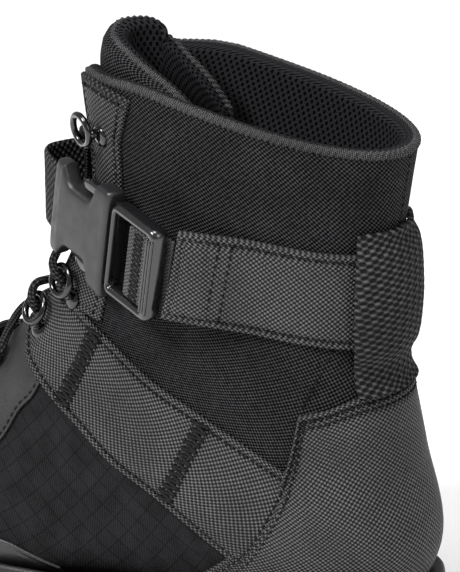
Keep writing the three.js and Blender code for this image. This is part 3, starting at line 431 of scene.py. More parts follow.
def rounding(from_edge, radius):
    """The height of a quarter round at a distance from its edge, as a share of its full height."""
    return np.sqrt(np.clip(1 - np.clip(1 - from_edge / radius, 0, 1) ** 2, 0, 1))


def folded(outer, inner, uv):
    """Two faces of a slab as one closed grid, and their places on the cloth."""
    return np.concatenate([outer, inner[::-1], outer[:1]]), np.concatenate([uv, uv[::-1], uv[:1]])


def spaced(width, step):
    """Shares of a width: close together beside both edges, and even between them."""
    near = NEAR_EDGE[NEAR_EDGE < width / 2 - step / 2]
    first = near[-1] if len(near) else 0
    inside = width - 2 * first
    even = first + np.linspace(0, inside, max(int(inside / step), 1) + 1)
    return np.concatenate([[0], near, even[1:-1], width - near[::-1], [width]]) / width


class Patch:
    """A panel of the form between four edges. Inside them turn and at are blended from the edges:
    the blend across plus the blend along, less the blend of the corners."""

    def __init__(self, low, high, left, right, free=(), stand=None):
        self.low, self.high, self.left, self.right = (by_length_of_form(k) for k in (low, high, left, right))
        self.free = free  # edges with no rounding, where two panels meet
        self.stand = stand or (lambda base: np.zeros(base.shape[:-1]))  # how far it leaves the form
        even, half = np.linspace(0, 1, 60), np.full(60, 0.5)
        self.width = lengths(form_point(*self.at(even, half)))[-1]
        self.height = lengths(form_point(*self.at(half, even)))[-1]

    def at(self, u, v):
        t = np.linspace(0, 1, len(self.low))

        def on(line, k):
            return np.stack([np.interp(k, t, line[:, 0]), np.interp(k, t, line[:, 1])])

        p00, p10, p01, p11 = (k.reshape((2,) + (1,) * np.ndim(u)) for k in
                              (self.low[0], self.low[-1], self.high[0], self.high[-1]))
        corners = (1 - v) * ((1 - u) * p00 + u * p10) + v * ((1 - u) * p01 + u * p11)
        across = (1 - v) * on(self.low, u) + v * on(self.high, u)
        return across + (1 - u) * on(self.left, v) + u * on(self.right, v) - corners

    def grid(self, step):
        u, v = np.meshgrid(spaced(self.width, step), spaced(self.height, step))
        turn, at = self.at(u, v)
        return form_point(turn, at), form_normal(turn, at), v

    def body(self, thick, lift=PANEL_GAP, step=2.0, puff=0.0, groove=(), relief=None):
        """The panel as a closed slab: rounded over at its edges, with a soft crown, and a narrow
        trough where a row of stitches pulls it in."""
        base, normal, _ = self.grid(step)
        from_edge = self.from_edge(base)
        height = thick * rounding(from_edge, PANEL_ROUND) + puff * (1 - np.exp(-from_edge / CROWN_REACH))
        for inset, depth in groove:
            height = height - depth * np.exp(-(((from_edge - inset) / GROOVE_HALF) ** 2))
        if relief is not None:
            height = height + relief(base) * np.clip(from_edge / RELIEF_REACH, 0, 1)
        lift = lift + self.stand(base)
        outer = base + normal * (lift + height)[..., None]
        return grid_body(*folded(outer, base + normal * lift[..., None], arc_uv(outer)))

    def from_edge(self, base):
        """The distance of each point of a grid from the nearest edge that isn't free."""
        across = np.linalg.norm(np.diff(base, axis=1), axis=-1)
        across = np.concatenate([np.zeros((len(base), 1)), np.cumsum(across, 1)], 1)
        along = np.linalg.norm(np.diff(base, axis=0), axis=-1)
        along = np.concatenate([np.zeros((1, base.shape[1])), np.cumsum(along, 0)], 0)
        found = {"left": across, "right": across[:, -1:] - across, "low": along, "high": along[-1:] - along}
        return np.min([value for name, value in found.items() if name not in self.free], 0)

    def line(self, u, v, lift):
        """A line on the panel from shares across and along it, with the outward directions."""
        turn, at = self.at(np.asarray(u, float), np.asarray(v, float))
        base, normal = form_point(turn, at), form_normal(turn, at)
        return base + normal * (lift + self.stand(base))[:, None], normal

    def row(self, edge, inset, lift=2.0, start=0.0, end=1.0):
        """A line on the panel beside one of its edges."""
        k = np.linspace(start, end, 200)
        level = edge in ("low", "high")
        share = np.full(200, inset / (self.height if level else self.width))
        share = share if edge in ("low", "left") else 1 - share
        return self.line(*((k, share) if level else (share, k)), lift)


def by_length_of_form(line):
    """A line in turn and at, spaced evenly by its length on the form."""
    line = np.asarray(line, float)
    so_far = lengths(form_point(line[:, 0], line[:, 1]))
    where = np.linspace(0, so_far[-1], 160)
    return np.stack([np.interp(where, so_far, line[:, k]) for k in (0, 1)], -1)


def side_line(points, way=1, count=120):
    return side_form(smooth_line(points, count), way)


def throat_line(low, high, way=1, inset=0.0, count=120):
    """The throat's edge between two sections."""
    at = np.linspace(low, high, count)
    return np.stack([throat_turn(at, way, inset), at], -1)


def at_height_on_throat(up, way=1, inset=0.0):
    """The section at which the throat's edge has a height."""
    def under(at):
        at = np.array([float(at)])
        return form_point(throat_turn(at, way, inset), at)[0, 2] < up

    return float(halved(under, THROAT_FROM, float(LAST)))


def frames_along(line, normal=None):
    """Unit directions along a line, out of the surface that it lies on, and across."""
    run = unit(np.gradient(line, axis=0))
    if normal is None:
        normal = np.broadcast_to([0.0, 0.0, 1.0], line.shape)
    across = unit(np.cross(run, normal))
    return run, np.cross(across, run), across


def stitch_bodies(line, normal, pitch, length):
    """A row of stitches: flattened ellipsoids set along a line at an even pitch, each with its
    ends dipping into the cloth."""
    so_far = lengths(line)
    count = max(int(so_far[-1] / pitch), 2)
    where = (np.arange(count) + 0.5) * so_far[-1] / count
    out = spread(normal, so_far, where)
    run = unit(at_lengths(line, where + 0.3) - at_lengths(line, where - 0.3))
    across = unit(np.cross(run, out))
    polar, round_ = np.meshgrid(np.linspace(0, np.pi, 6), np.linspace(0, 2 * np.pi, 7), indexing="ij")
    dip = STITCH_TALL * 0.9 * np.cos(polar) ** 2
    local = np.stack([
        length / 2 * np.cos(polar),
        STITCH_WIDE / 2 * np.sin(polar) * np.cos(round_),
        STITCH_TALL * np.sin(polar) * np.sin(round_) - dip,
    ], -1)
    axes = np.stack([run, across, np.cross(across, run)], 1)
    points = at_lengths(line, where)[:, None, None] + np.einsum("rck,nkx->nrcx", local, axes)
    return grid_body(points, local[..., :2])


def tube_body(line, radius, sides=10, normal=None, closed=False):
    """A round tube along a line: circles set across it, drawn in to a point at both ends."""
    _, out, across = frames_along(line, normal)
    size = np.full(len(line), float(radius))
    if not closed:
        so_far = lengths(line)
        total, ends = so_far[-1], np.array([0, 0.3, 0.7]) * radius
        inside = np.linspace(total * 0.004 + ends[-1], total * 0.996 - ends[-1], len(line))
        packed = spread(np.column_stack([line, out, across]), so_far,
                        np.concatenate([ends, inside, total - ends[::-1]]))
        line, out, across = packed[:, :3], unit(packed[:, 3:6]), unit(packed[:, 6:])
        shrink = np.array([0, 0.7, 0.95])
        size = radius * np.concatenate([shrink, np.ones(len(inside)), shrink[::-1]])
    angle = np.linspace(0, 2 * np.pi, sides + 1)
    c, s = np.cos(angle)[:, None], np.sin(angle)[:, None]
    points = line[:, None] + size[:, None, None] * (c * across[:, None] + s * out[:, None])
    along = np.broadcast_to(lengths(line)[:, None], points.shape[:2])
    return grid_body(points, np.stack([np.broadcast_to(angle * radius, along.shape), along], -1))


def ribbon_body(line, across, wide, thick, ribs=None, columns=24):
    """A strip of webbing: a flat oval with square-cut ends carried along a line. Ribs is a height
    as a function of the length along it and the distance across it."""
    out = unit(np.cross(across, unit(np.gradient(line, axis=0))))
    so_far = lengths(line)
    share = np.concatenate([np.linspace(-1, 1, columns), [1], np.linspace(1, -1, columns), [-1], [-1]])
    face = np.concatenate([np.ones(columns), [0], -np.ones(columns), [0], [1]])
    w = share * wide / 2
    from_edge = wide / 2 - np.abs(w)
    t = face * thick / 2 * (rounding(from_edge, WEBBING_ROUND) * 0.75 + 0.25)
    bulge = np.where(face == 0, np.sign(share) * thick * 0.12, 0)
    extra = 0
    if ribs is not None:
        extra = ribs(so_far[:, None], w[None]) * np.sign(face) * np.clip(from_edge, 0.2, 1)
    height = (t + extra + 0 * so_far[:, None])[..., None]
    points = line[:, None] + across[:, None] * (w + bulge)[:, None] + out[:, None] * height
    middle = (points[:, :columns] + points[:, columns + 1 : 2 * columns + 1][:, ::-1]) / 2
    flat = np.concatenate([middle, middle[:, -1:], middle[:, ::-1], middle[:, :1], middle[:, :1]], 1)
    points = np.concatenate([flat[:1], points, flat[-1:]])
    along = np.concatenate([[-thick], so_far, [so_far[-1] + thick]])[:, None]
    return grid_body(points, np.stack(np.broadcast_arrays(w[None], along), -1))


def linear(code):
    """An sRGB hex colour as the linear colour that the renderer works in."""
    value = np.array([int(code[k : k + 2], 16) for k in (0, 2, 4)]) / 255
    return tuple(np.where(value <= 0.04045, value / 12.92, ((value + 0.055) / 1.055) ** 2.4)) + (1.0,)


def add_node(material, kind, inputs=None, **settings):
    """A shader node with its settings, its sockets given as numbers, colours or other sockets."""
    node = material.node_tree.nodes.new("ShaderNode" + kind)
    for key, value in settings.items():
        setattr(node, key, value)
    for key, value in (inputs or {}).items():
        if isinstance(value, bpy.types.NodeSocket):
            material.node_tree.links.new(value, node.inputs[key])
        else:
            node.inputs[key].default_value = value
    return node


def start_material(name, inputs):
    material = bpy.data.materials.new(name)
    material.use_nodes = True
    shader = material.node_tree.nodes["Principled BSDF"]
    for key, value in inputs.items():
        shader.inputs[key].default_value = value
    return material, shader


def join(material, shader, **sockets):
    for key, value in sockets.items():
        material.node_tree.links.new(value, shader.inputs[key.replace("_", " ")])


def dimmed(colour, share):
    return tuple(k * share for k in colour[:3]) + (1.0,)


def waves(material, pitch, turned=0.0):
    """Sines along and across the piece's own millimetres, at a pitch: the two thread directions."""
    uv = add_node(material, "UVMap", uv_map="UVMap").outputs[0]
    if turned:
        uv = add_node(material, "VectorRotate", {"Vector": uv, "Angle": np.radians(turned)},
                      rotation_type="Z_AXIS").outputs[0]
    scaled = add_node(material, "VectorMath", {0: uv, 1: [2 * np.pi / p for p in pitch] + [0]}, operation="MULTIPLY")
    sines = add_node(material, "VectorMath", {0: scaled.outputs[0]}, operation="SINE")
    return add_node(material, "SeparateXYZ", {0: sines.outputs[0]}).outputs


DOT_FROM, DOT_FULL = -0.25, 0.8  # heights of a weave at which its dots start and are fully lit


def woven(name, colour, pitch, pit_shade=0.06, turned=0.0, bump=0.5, rough=0.75, level=0.12, grain=0.5):
    """Cloth whose threads rise and dip in turn: the product of the two directions' sines gives
    staggered rows of raised dots with pits between them, and cloudy noise makes them uneven. The
    colour follows the height as painted light: the raised dots take a painted highlight, and the
    pits are painted dark as the shade that falls in them."""
    material, shader = start_material(name, {"Roughness": rough, "Specular IOR Level": level})
    place = add_node(material, "TexCoord").outputs["Object"]
    along = waves(material, pitch, turned)
    dots = add_node(material, "Math", {0: along[0], 1: along[1]}, operation="MULTIPLY").outputs[0]
    noise = add_node(material, "TexNoise", {"Vector": place, "Scale": 700.0, "Detail": 2.0}).outputs["Fac"]
    height = add_node(material, "Math", {0: noise, 1: grain * 2, 2: dots}, operation="MULTIPLY_ADD").outputs[0]
    share = add_node(material, "MapRange", {
        "Value": height, "From Min": DOT_FROM + grain, "From Max": DOT_FULL + grain}).outputs[0]
    worn = add_node(material, "TexNoise", {"Vector": place, "Scale": 40.0, "Detail": 4.0}).outputs["Fac"]
    tint = add_node(material, "MapRange", {
        "Value": worn, "From Min": 0.3, "From Max": 0.7, "To Min": 0.7, "To Max": 1.2}).outputs[0]
    lit = add_node(material, "Math", {0: share, 1: tint}, operation="MULTIPLY", use_clamp=True).outputs[0]
    # Painted highlight and shade: the raised dots take the full colour, the pits a colour dimmed to painted shade
    mixed = add_node(material, "Mix", {0: lit, 6: dimmed(colour, pit_shade), 7: colour}, data_type="RGBA")
    relief = add_node(material, "Bump", {"Height": height, "Strength": bump, "Distance": min(pitch) / 3000})
    join(material, shader, Base_Color=mixed.outputs[2], Normal=relief.outputs[0])
    return material


def holed_mesh(name, colour, pitch=(3.4, 5.0)):
    """Knitted spacer mesh: where the product of two sines is high there is an oval hole, sunk in the
    bump and painted nearly black as the shade inside it, and fine noise raises the knit round them."""
    material, shader = start_material(name, {"Roughness": 0.85, "Specular IOR Level": 0.04})
    place = add_node(material, "TexCoord").outputs["Object"]
    along = waves(material, pitch)
    product = add_node(material, "Math", {0: along[0], 1: along[1]}, operation="MULTIPLY").outputs[0]
    hole = add_node(material, "MapRange", {"Value": product, "From Min": 0.15, "From Max": 0.4}).outputs[0]
    knit = add_node(material, "TexNoise", {"Vector": place, "Scale": 1500.0}).outputs["Fac"]
    height = add_node(material, "Math", {0: knit, 1: 0.5}, operation="MULTIPLY").outputs[0]
    height = add_node(material, "Math", {0: height, 1: hole}, operation="SUBTRACT").outputs[0]
    # Painted shade: the holes take the colour dimmed nearly to black
    mixed = add_node(material, "Mix", {0: hole, 6: colour, 7: dimmed(colour, 0.03)}, data_type="RGBA")
    relief = add_node(material, "Bump", {"Height": height, "Strength": 0.7, "Distance": 0.0012})
    join(material, shader, Base_Color=mixed.outputs[2], Normal=relief.outputs[0])
    return material


def grained(name, colour, scale, dark=0.4, bump=0.3, rough=(0.45, 0.65), distance=0.0004, coat=0.0, level=0.5):
    """Leather, rubber, foam and moulded plastic: a cellular grain over a cloudy colour, rougher
    where the clouds are light."""
    material, shader = start_material(name, {"Coat Weight": coat, "Coat Roughness": 0.25, "Specular IOR Level": level})
    place = add_node(material, "TexCoord").outputs["Object"]
    cells = add_node(material, "TexVoronoi", {"Vector": place, "Scale": scale}, feature="SMOOTH_F1")
    cells = cells.outputs["Distance"]
    cloud = add_node(material, "TexNoise", {"Vector": place, "Scale": scale / 12, "Detail": 4.0}).outputs["Fac"]
    mixed = add_node(material, "Mix", {0: cloud, 6: dimmed(colour, dark), 7: colour}, data_type="RGBA")
    gloss = add_node(material, "MapRange", {
        "Value": cloud, "From Min": 0.3, "From Max": 0.7, "To Min": rough[0], "To Max": rough[1]})
    relief = add_node(material, "Bump", {"Height": cells, "Strength": bump, "Distance": distance})
    join(material, shader, Base_Color=mixed.outputs[2], Roughness=gloss.outputs[0], Normal=relief.outputs[0])
    return material


def ripstop(name, colour):
    """Fine plain cloth with heavier threads that cross at 7.5 mm, which part it into squares. The fine
    threads' crowns are painted lighter and their dips darker, as painted highlight and shade.
    """
    material, shader = start_material(name, {"Roughness": 0.7, "Specular IOR Level": 0.06})
    place = add_node(material, "TexCoord").outputs["Object"]
    fine = waves(material, (1.6, 1.4))
    product = add_node(material, "Math", {0: fine[0], 1: fine[1]}, operation="MULTIPLY").outputs[0]
    grid = waves(material, (15.0, 15.0), 12.0)
    lines = []
    for k in (0, 1):
        size = add_node(material, "Math", {0: grid[k]}, operation="ABSOLUTE").outputs[0]
        lines.append(add_node(material, "MapRange", {
            "Value": size, "From Min": 0.05, "From Max": 0.2, "To Min": 1.0, "To Max": 0.0}).outputs[0])
    line = add_node(material, "Math", {0: lines[0], 1: lines[1]}, operation="MAXIMUM").outputs[0]
    cloud = add_node(material, "TexNoise", {"Vector": place, "Scale": 100.0, "Detail": 3.0}).outputs["Fac"]
    # Painted highlight and shade: the fine weave's raised threads lighten the colour and its dips darken it, over
    # cloudy tone
    tone = add_node(material, "Math", {0: product, 1: 0.4, 2: cloud}, operation="MULTIPLY_ADD").outputs[0]
    under = add_node(material, "Math", {0: line, 1: -0.3, 2: tone}, operation="MULTIPLY_ADD", use_clamp=True)
    under = under.outputs[0]
    mixed = add_node(material, "Mix", {0: under, 6: dimmed(colour, 0.12), 7: colour}, data_type="RGBA")
    height = add_node(material, "Math", {0: line, 1: -0.8, 2: product}, operation="MULTIPLY_ADD").outputs[0]
    relief = add_node(material, "Bump", {"Height": height, "Strength": 0.4, "Distance": 0.0004})
    join(material, shader, Base_Color=mixed.outputs[2], Normal=relief.outputs[0])
    return material


def enamelled(name, colour):
    """Dark and mirror-smooth, with slight unevenness in its gloss."""
    gloss_coat = {"Coat Weight": 0.8, "Coat Roughness": 0.05}
    material, shader = start_material(name, {"Base Color": colour, "Metallic": 0.6, **gloss_coat})
    place = add_node(material, "TexCoord").outputs["Object"]
    cloud = add_node(material, "TexNoise", {"Vector": place, "Scale": 400.0, "Detail": 3.0}).outputs["Fac"]
    span = {"From Min": 0.3, "From Max": 0.7, "To Min": 0.12, "To Max": 0.3}
    gloss = add_node(material, "MapRange", {"Value": cloud, **span})
    join(material, shader, Roughness=gloss.outputs[0])
    return material


# Each finish: how its material is made, the material's name, its colour where the threads or grain
# catch the light, and its settings. Pitches are millimetres; the finest weaves are drawn about
# twice as coarse as they are, so that they show.
FINISHES = {
    # Plain 1000-denier nylon of the shaft and tongue: nearly black with fine rows of dots in painted highlight
    "plain": (woven, "plain_nylon_cloth", "424244", {"pitch": (2.0, 1.7), "pit_shade": 0.01, "level": 0.05, "bump": 0.8}),
    # Ballistic nylon of the straps, counter and facings: thicker threads, greyer, with pits painted black as shade
    "ballistic": (woven, "ballistic_nylon_cloth", "606061", {
        "pitch": (2.2, 1.9), "level": 0.12, "rough": 0.5, "grain": 0.3, "pit_shade": 0.03, "bump": 0.7}),
    # Ripstop nylon of the quarters: fine cloth parted into squares by darker threads
    "ripstop": (ripstop, "ripstop_nylon_cloth", "242426", {}),
    # Spacer mesh of the lining: rows of oval holes painted dark as shade, in a soft grey knit
    "mesh": (holed_mesh, "polyester_spacer_mesh", "202022", {"pitch": (2.8, 4.0)}),
    # Twisted piping on the rims: slanted strands that catch the light
    "piping": (woven, "twisted_nylon_piping", "5a5a5b", {"pitch": (1.1, 0.9), "turned": 35.0, "bump": 0.6}),
    # Webbing of the loop and front strap: slanted ribs
    "webbing": (woven, "nylon_webbing", "4c4c4d", {"pitch": (3.4, 2.9), "turned": 8.0, "bump": 0.8, "grain": 0.25}),
    # Flatter, greyer webbing folded through the buckle
    "tape": (woven, "nylon_tape", "585859", {"pitch": (1.6, 2.2), "pit_shade": 0.25, "bump": 0.3}),
    # Braided lace
    "lace": (woven, "braided_polyester_lace", "3c3c3d", {"pitch": (2.2, 2.6), "turned": 35.0, "bump": 0.8}),
    # Bonded sewing thread, a little glossy
    "thread": (woven, "bonded_nylon_thread", "0a0a0b", {
        "pitch": (0.7, 0.7), "turned": 45.0, "rough": 0.45, "level": 0.16, "pit_shade": 0.3}),
    # Coated leather of the eyestays and toe cap: low sheen over a fine grain
    "leather": (grained, "grained_coated_leather", "1d1d1e", {"scale": 900.0, "rough": (0.38, 0.55), "coat": 0.1}),
    # Moulded acetal of the female half: satin, with a dusting of wear
    "acetal": (grained, "moulded_acetal", "19191b", {
        "scale": 2600.0, "bump": 0.08, "rough": (0.34, 0.5), "distance": 0.0001, "dark": 0.6}),
    # The male half is polished by use
    "polished": (grained, "polished_acetal", "121214", {
        "scale": 2600.0, "bump": 0.04, "rough": (0.12, 0.24), "distance": 0.0001, "dark": 0.6, "coat": 0.5}),
    # Moulded rubber of the outsole
    "rubber": (grained, "carbon_rubber", "1c1c1d", {"scale": 1500.0, "rough": (0.55, 0.75)}),
    # Moulded foam of the midsole, a little glossier on its rounded edges
    "foam": (grained, "moulded_eva_foam", "1e1e20", {
        "scale": 1400.0, "dark": 0.25, "bump": 0.5, "rough": (0.4, 0.6), "level": 0.35}),
    # Black-enamelled steel wire
    "steel": (enamelled, "enamelled_steel", "0a0a0b", {}),
}


def finish(kind):
    """The material of a finish, made the first time that a piece asks for it."""
    make, name, _, settings = FINISHES[kind]
    found = bpy.data.materials.get(name)
    return found or make(name, tuple(getattr(bpy.context.scene.boot_colours, kind)), **settings)


def creases(points):
    """Soft troughs and ridges in the cloth of the shaft: for each, a bell-shaped height across a
    short line in the side view, fading at its ends. Along, height, slope, length, width, depth."""
    along, up = -points[..., 1], points[..., 2]
    total = np.zeros(along.shape)
    for a, z, slope, length, wide, depth in [
        (60, 206, 10, 60, 5, -0.5), (84, 214, 60, 24, 6, -0.6), (40, 214, -50, 22, 6, 0.5),
        (66, 226, 75, 16, 5, -0.4), (92, 232, 80, 16, 5, -0.5), (50, 132, 12, 50, 6, -0.8),
        (88, 134, 18, 46, 6, 0.6), (106, 206, 70, 30, 6, -0.5), (58, 139, 8, 60, 5, 0.5),
    ]:
        c, s = np.cos(np.radians(slope)), np.sin(np.radians(slope))
        run = (along - a) * c + (up - z) * s
        off = -(along - a) * s + (up - z) * c
        total += depth * np.exp(-((off / wide) ** 2) - (run / (length / 2)) ** 4)
    return total


def build_upper():
    """The shell: for each section a closed loop that runs round the outside, over one throat edge,
    back along the inside and over the other. The collar's rim is a half round of the padding."""
    rows = np.concatenate([
        np.linspace(0, 0.5, 8, endpoint=False), np.linspace(0.5, 5, 26, endpoint=False),
        np.linspace(5, 9.5, 44, endpoint=False), np.linspace(9.5, RIM, 80),
    ])
    rim = np.linspace(0, np.pi / 2, 7)[1:]
    at = np.concatenate([rows, np.full(len(rim), RIM)])[:, None]
    over = np.concatenate([np.zeros(len(rows)), rim])[:, None]
    columns, roll = 130, 7
    share = np.linspace(-1, 1, columns)
    bend = np.linspace(0, np.pi, roll + 2)[1:-1]
    side = np.concatenate([share, np.ones(roll), share[::-1], -np.ones(roll), [-1]])
    face = np.concatenate([np.ones(columns), np.cos(bend), -np.ones(columns), -np.cos(bend), [1]])
    bulge = np.concatenate([np.zeros(columns), np.sin(bend), np.zeros(columns), -np.sin(bend), [0]])
    open_ = np.clip(throat_half(section_at(at)[3]) / 10, 0, 1)
    low, high = throat_turn(at[:, 0], -1, 1.2)[:, None], throat_turn(at[:, 0], 1, 1.2)[:, None]
    turn = low + (high - low) * (side + 1) / 2
    at = at - collar_drop(turn, np.broadcast_to(at, turn.shape))
    pad = padding(at)
    base = form_point(turn, at)
    normal = form_normal(turn, at)
    across = unit(form_point(turn + 0.02, at) - form_point(turn - 0.02, at))
    up = unit(form_point(turn, at + 0.05) - form_point(turn, at - 0.05))
    flat = np.cos(over)
    offset = -pad / 2 + pad / 2 * face * flat + creases(base) * (face > 0) * flat
    points = base + normal * offset[..., None] + across * (pad / 2 * bulge * flat * open_)[..., None]
    points = points + up * (pad / 2 * np.sin(over))[..., None]
    uv = arc_uv(points)
    centre = base[:-1, :-1]
    below = centre[..., 2] < 72 + 0.62 * (-centre[..., 1] - 40)
    slot = np.where(face[None, :-1] < 0.2, 2, np.where(below, 1, 0))
    make_piece("boot_upper", [grid_body(points, uv, slot)],
               [finish("plain"), finish("ripstop"), finish("mesh")], ["upper"])


RIM = 16.84  # the section of the collar's rim
TONGUE_EDGE = [(228, 79), (191, 102), (163, 123), (140, 148), (123, 169), (106, 198)]
TONGUE_WING = {1: [(93, 219), (90, 231)], -1: [(104, 208), (103, 220)]}


def build_tongue():
    """A padded leaf inside the throat: a panel of the form set in by the padding, thick in the
    middle and rounded to its rim like a cushion. Its inner wing flops in at the top."""
    right = side_line(TONGUE_EDGE + TONGUE_WING[1], 1)
    left = side_line(TONGUE_EDGE + TONGUE_WING[-1], -1)
    left[:, 0] += 2 * np.pi
    low = np.stack([np.linspace(left[0, 0], right[0, 0], 60), np.full(60, right[0, 1])], -1)
    near = side_form([(134, 253), (120, 248), (104, 241)], 1)
    far = side_form([(112, 234), (124, 244), (133, 250)], -1) + [2 * np.pi, 0]
    top = face_form([(-14, 255), (-4, 258), (6, 258), (15, 256)])
    high = smooth_line(np.vstack([left[-1:], far, top, near, right[-1:]]), 160)
    patch = Patch(low, high, left, right)
    base, normal, v = patch.grid(2.2)
    from_edge = patch.from_edge(base)
    round_ = rounding(from_edge, 4.0)
    thick = 8.0 + 2.0 * np.clip(v * 2 - 1, 0, 1)
    swell = 2.0 * np.exp(-(((v - 0.93) / 0.07) ** 2)) * np.clip(from_edge / 8, 0, 1)
    middle = tongue_depth(base) - thick / 2
    outer = base + normal * (middle + (thick / 2) * round_ + swell)[..., None]
    inner = base + normal * (middle - (thick / 2) * round_)[..., None]
    points, uv = folded(outer, inner, arc_uv(outer))
    rows, columns = points.shape[0] - 1, points.shape[1] - 1
    slot = np.zeros((rows, columns), int)
    slot[len(outer):] = 1
    piece = make_piece("boot_tongue", [grid_body(points, uv, slot)], [finish("plain"), finish("mesh")],
                       ["tongue"])
    line, normal = patch_rim(patch, 1.0)
    line = line + normal * (tongue_depth(line) - 4.0)[:, None]
    make_piece("tongue_piping", [rope_body(line, normal)], [finish("piping")])


def tongue_depth(base):
    """How deep the tongue's outer face lies under the form: under the padding, and deeper where
    its inner wing leans in near the top."""
    up = np.clip((base[..., 2] - 196) / 50, 0, 1)
    inward = np.clip((6 - base[..., 0]) / 18, 0, 1)
    return -COLLAR_WALL - 0.8 - 11 * up**2 * (3 - 2 * up) * inward**2 * (3 - 2 * inward) + np.interp(
        base[..., 2], [90, 150], [COLLAR_WALL - WALL, 0])


def rope_body(line, normal):
    """Twisted piping: a tube along a line whose radius swells and shrinks round it, by the cosine
    of its angle times the number of strands less its length over their lay."""
    total = lengths(line)[-1]
    packed = spread(np.column_stack([line, normal]), lengths(line), np.linspace(0, total, int(total / 0.55)))
    line, normal = packed[:, :3], unit(packed[:, 3:])
    _, out, across = frames_along(line, normal)
    angle = np.linspace(0, 2 * np.pi, 19)
    so_far = lengths(line)[:, None]
    size = ROPE_RADIUS * (1 + 0.2 * np.cos(ROPE_STRANDS * (angle - 2 * np.pi * so_far / ROPE_LAY)))
    size = size * np.sqrt(np.clip(np.minimum(so_far, total - so_far) / 1.5, 0, 1))
    c, s = np.cos(angle)[:, None], np.sin(angle)[:, None]
    points = line[:, None] + size[..., None] * (c * across[:, None] + s * out[:, None])
    uv = np.stack([np.broadcast_to(angle * ROPE_RADIUS, size.shape), np.broadcast_to(so_far, size.shape)], -1)
    return grid_body(points, uv)


def patch_rim(patch, inset):
    """A line round the upper part of a panel, close inside its edge, with its directions out."""
    k = np.linspace(0.35, 1, 140)
    share = inset / patch.width
    left = patch.at(np.full(140, share), k)
    top = patch.at(np.linspace(share, 1 - share, 140), np.full(140, 1 - inset / patch.height))
    right = patch.at(np.full(140, 1 - share), k[::-1])
    turn, at = np.concatenate([left, top[:, 4:-4], right], 1)
    return form_point(turn, at), form_normal(turn, at)


COUNTER_TOP = ([-60, 0, 21, 26, 32, 42, 60], [131, 131, 127, 125, 122, 119, 110])
COUNTER_FOOT = ([-10, 20, 90], [36, 35, 40])
COUNTER_FRONT = [(42, 119), (45, 97), (53, 78), (63, 61), (72, 52), (86, 40)]
STRAP_LOW = [(62, 49), (70, 56), (100, 74), (122, 85), (139, 97), (149, 103), (160, 110), (176, 121)]
STRAP_HIGH = [(40, 92), (46, 96), (62, 104), (87, 115), (106, 123), (124, 133), (137, 139), (160, 151)]
FACING_REAR = [(114.6, 237), (119, 225), (122, 216), (123, 194), (127, 172), (132, 140)]
EYESTAY_EDGE = [(158, 112), (162, 103), (167, 97), (175, 82), (191, 72), (212, 70), (228, 77), (236, 92)]
EYESTAY_FRONT, THROAT_FOOT = 88.0, 96.5  # heights on the instep's middle
RAND_HIGH = [(268, 52), (259, 48), (234, 45), (203, 45.5), (172, 43), (159, 39), (146, 33)]
RAND_LOW = [(268, 28), (234, 27), (203, 27), (172, 27), (146, 27)]
TOE_CAP_REAR = ([20, 45, 61, 102], [254, 256, 268, 271])  # heights, and how far along at each
BARTACKS = (((133, 136.5), (146, 104)), ((80, 110.5), (96, 75)))
BARTACK_HALF, BARTACK_THREAD, BARTACK_LIFT = 3.6, 0.8, 2.95
SHAFT_SEAMS = ([(11.6, 222), (12, 214), (14, 203), (16, 191)], [(31, 147), (36, 134), (41, 122)])
SIDES = ((1, "lateral"), (-1, "medial"))

# How far inside a panel's edge its rows of stitches run
ANKLE_SEAM = 3.2
FACING_SEAM = 2.9
FACING_TOP_SEAM = 3.6
EYESTAY_SEAM = 2.6
COUNTER_SEAMS = (2.6, 5.6)
STRAP_SEAM = 3.0
THROAT_INSET = 0.8

# The collar strap: its ends along the boot, where it is doubled and how steeply it leaves the shaft
STRAP_ENDS = (93.5, 86.5)  # the outer end's lower and upper corner
STRAP_STOP = 109.4  # the inner end
STRAP_DOUBLED = 76
STRAP_ROWS = (70.0, 74.5)
LEAF_SLOPE = 0.42

# The pull loop in the side view, heights and distances off the shaft, from its folded end up
LOOP_SIDE = [
    (127, 2.6), (127.5, 3.6), (129, 2.6), (133, 1.6), (138, 1.8), (141.5, 3.4), (145, 5.4), (152, 6.8),
    (163, 7.6), (175, 7.0), (183, 5.8), (187.5, 4.2), (190, 2.4), (192, 1.6), (194, 1.5),
]
LOOP_HALF = 19.0
# The buckle: along, out to the side, half width and half thickness of a prong, the female half's
# waist at the windows, the frame bars' half thickness and the gap between neighbouring solids
PRONG_STATIONS = [
    (25, 17.0, 2.4, 2.0), (32, 17.2, 2.4, 2.0), (38, 17.4, 2.4, 2.0), (42, 17.8, 2.5, 2.1), (46, 17.9, 2.5, 2.2),
    (48.5, 17.6, 2.3, 2.1), (50.5, 17.2, 1.8, 1.8), (51.6, 17.0, 1.1, 1.2), (52, 16.9, 0.4, 0.5),
]
FEMALE_WAIST = 13.7
BAR_HALF = 1.3
CLEAR = 0.3
# The front webbing in plan, as shares of half the shaft's width and of its depth
WEBBING_UNDER_BUCKLE = (0.74, 0.86, 0.97, 1.06)
WEBBING_PLAN = [
    (0.2, 1.155), (-0.12, 1.15), (-0.45, 1.1), (-0.75, 1.01),
    (-0.97, 0.9), (-1.09, 0.77), (-1.105, 0.66), (-1.1, 0.6),
]


def facing_panel(way):
    """From the ankle strap up to the collar, between its seam and the throat."""
    rear = side_line(FACING_REAR[::-1], way)
    front = throat_line(at_height_on_throat(142, way, 0.6), RIM - 0.36, way, 0.6)
    corner = side_form([(136, 240.5), (143, 239.5)], way)
    high = smooth_line(np.vstack([rear[-1:], corner, front[-1:]]), 80)
    return Patch(smooth_line([rear[0], front[0]], 80), high, rear, front)


def ankle_panel(way):
    """From under the counter up to the throat."""
    high, low = side_line(STRAP_HIGH, way), side_line(STRAP_LOW, way)
    left = smooth_line([low[0], high[0]], 80)
    front = throat_line(*(at_height_on_throat(up, way, THROAT_INSET) for up in (129, 152)), way, THROAT_INSET)
    low, high = (
        np.vstack([line[:-8], smooth_line([line[-8], end], 20)])
        for line, end in ((low, front[0]), (high, front[-1]))
    )
    return Patch(low, high, left, front)


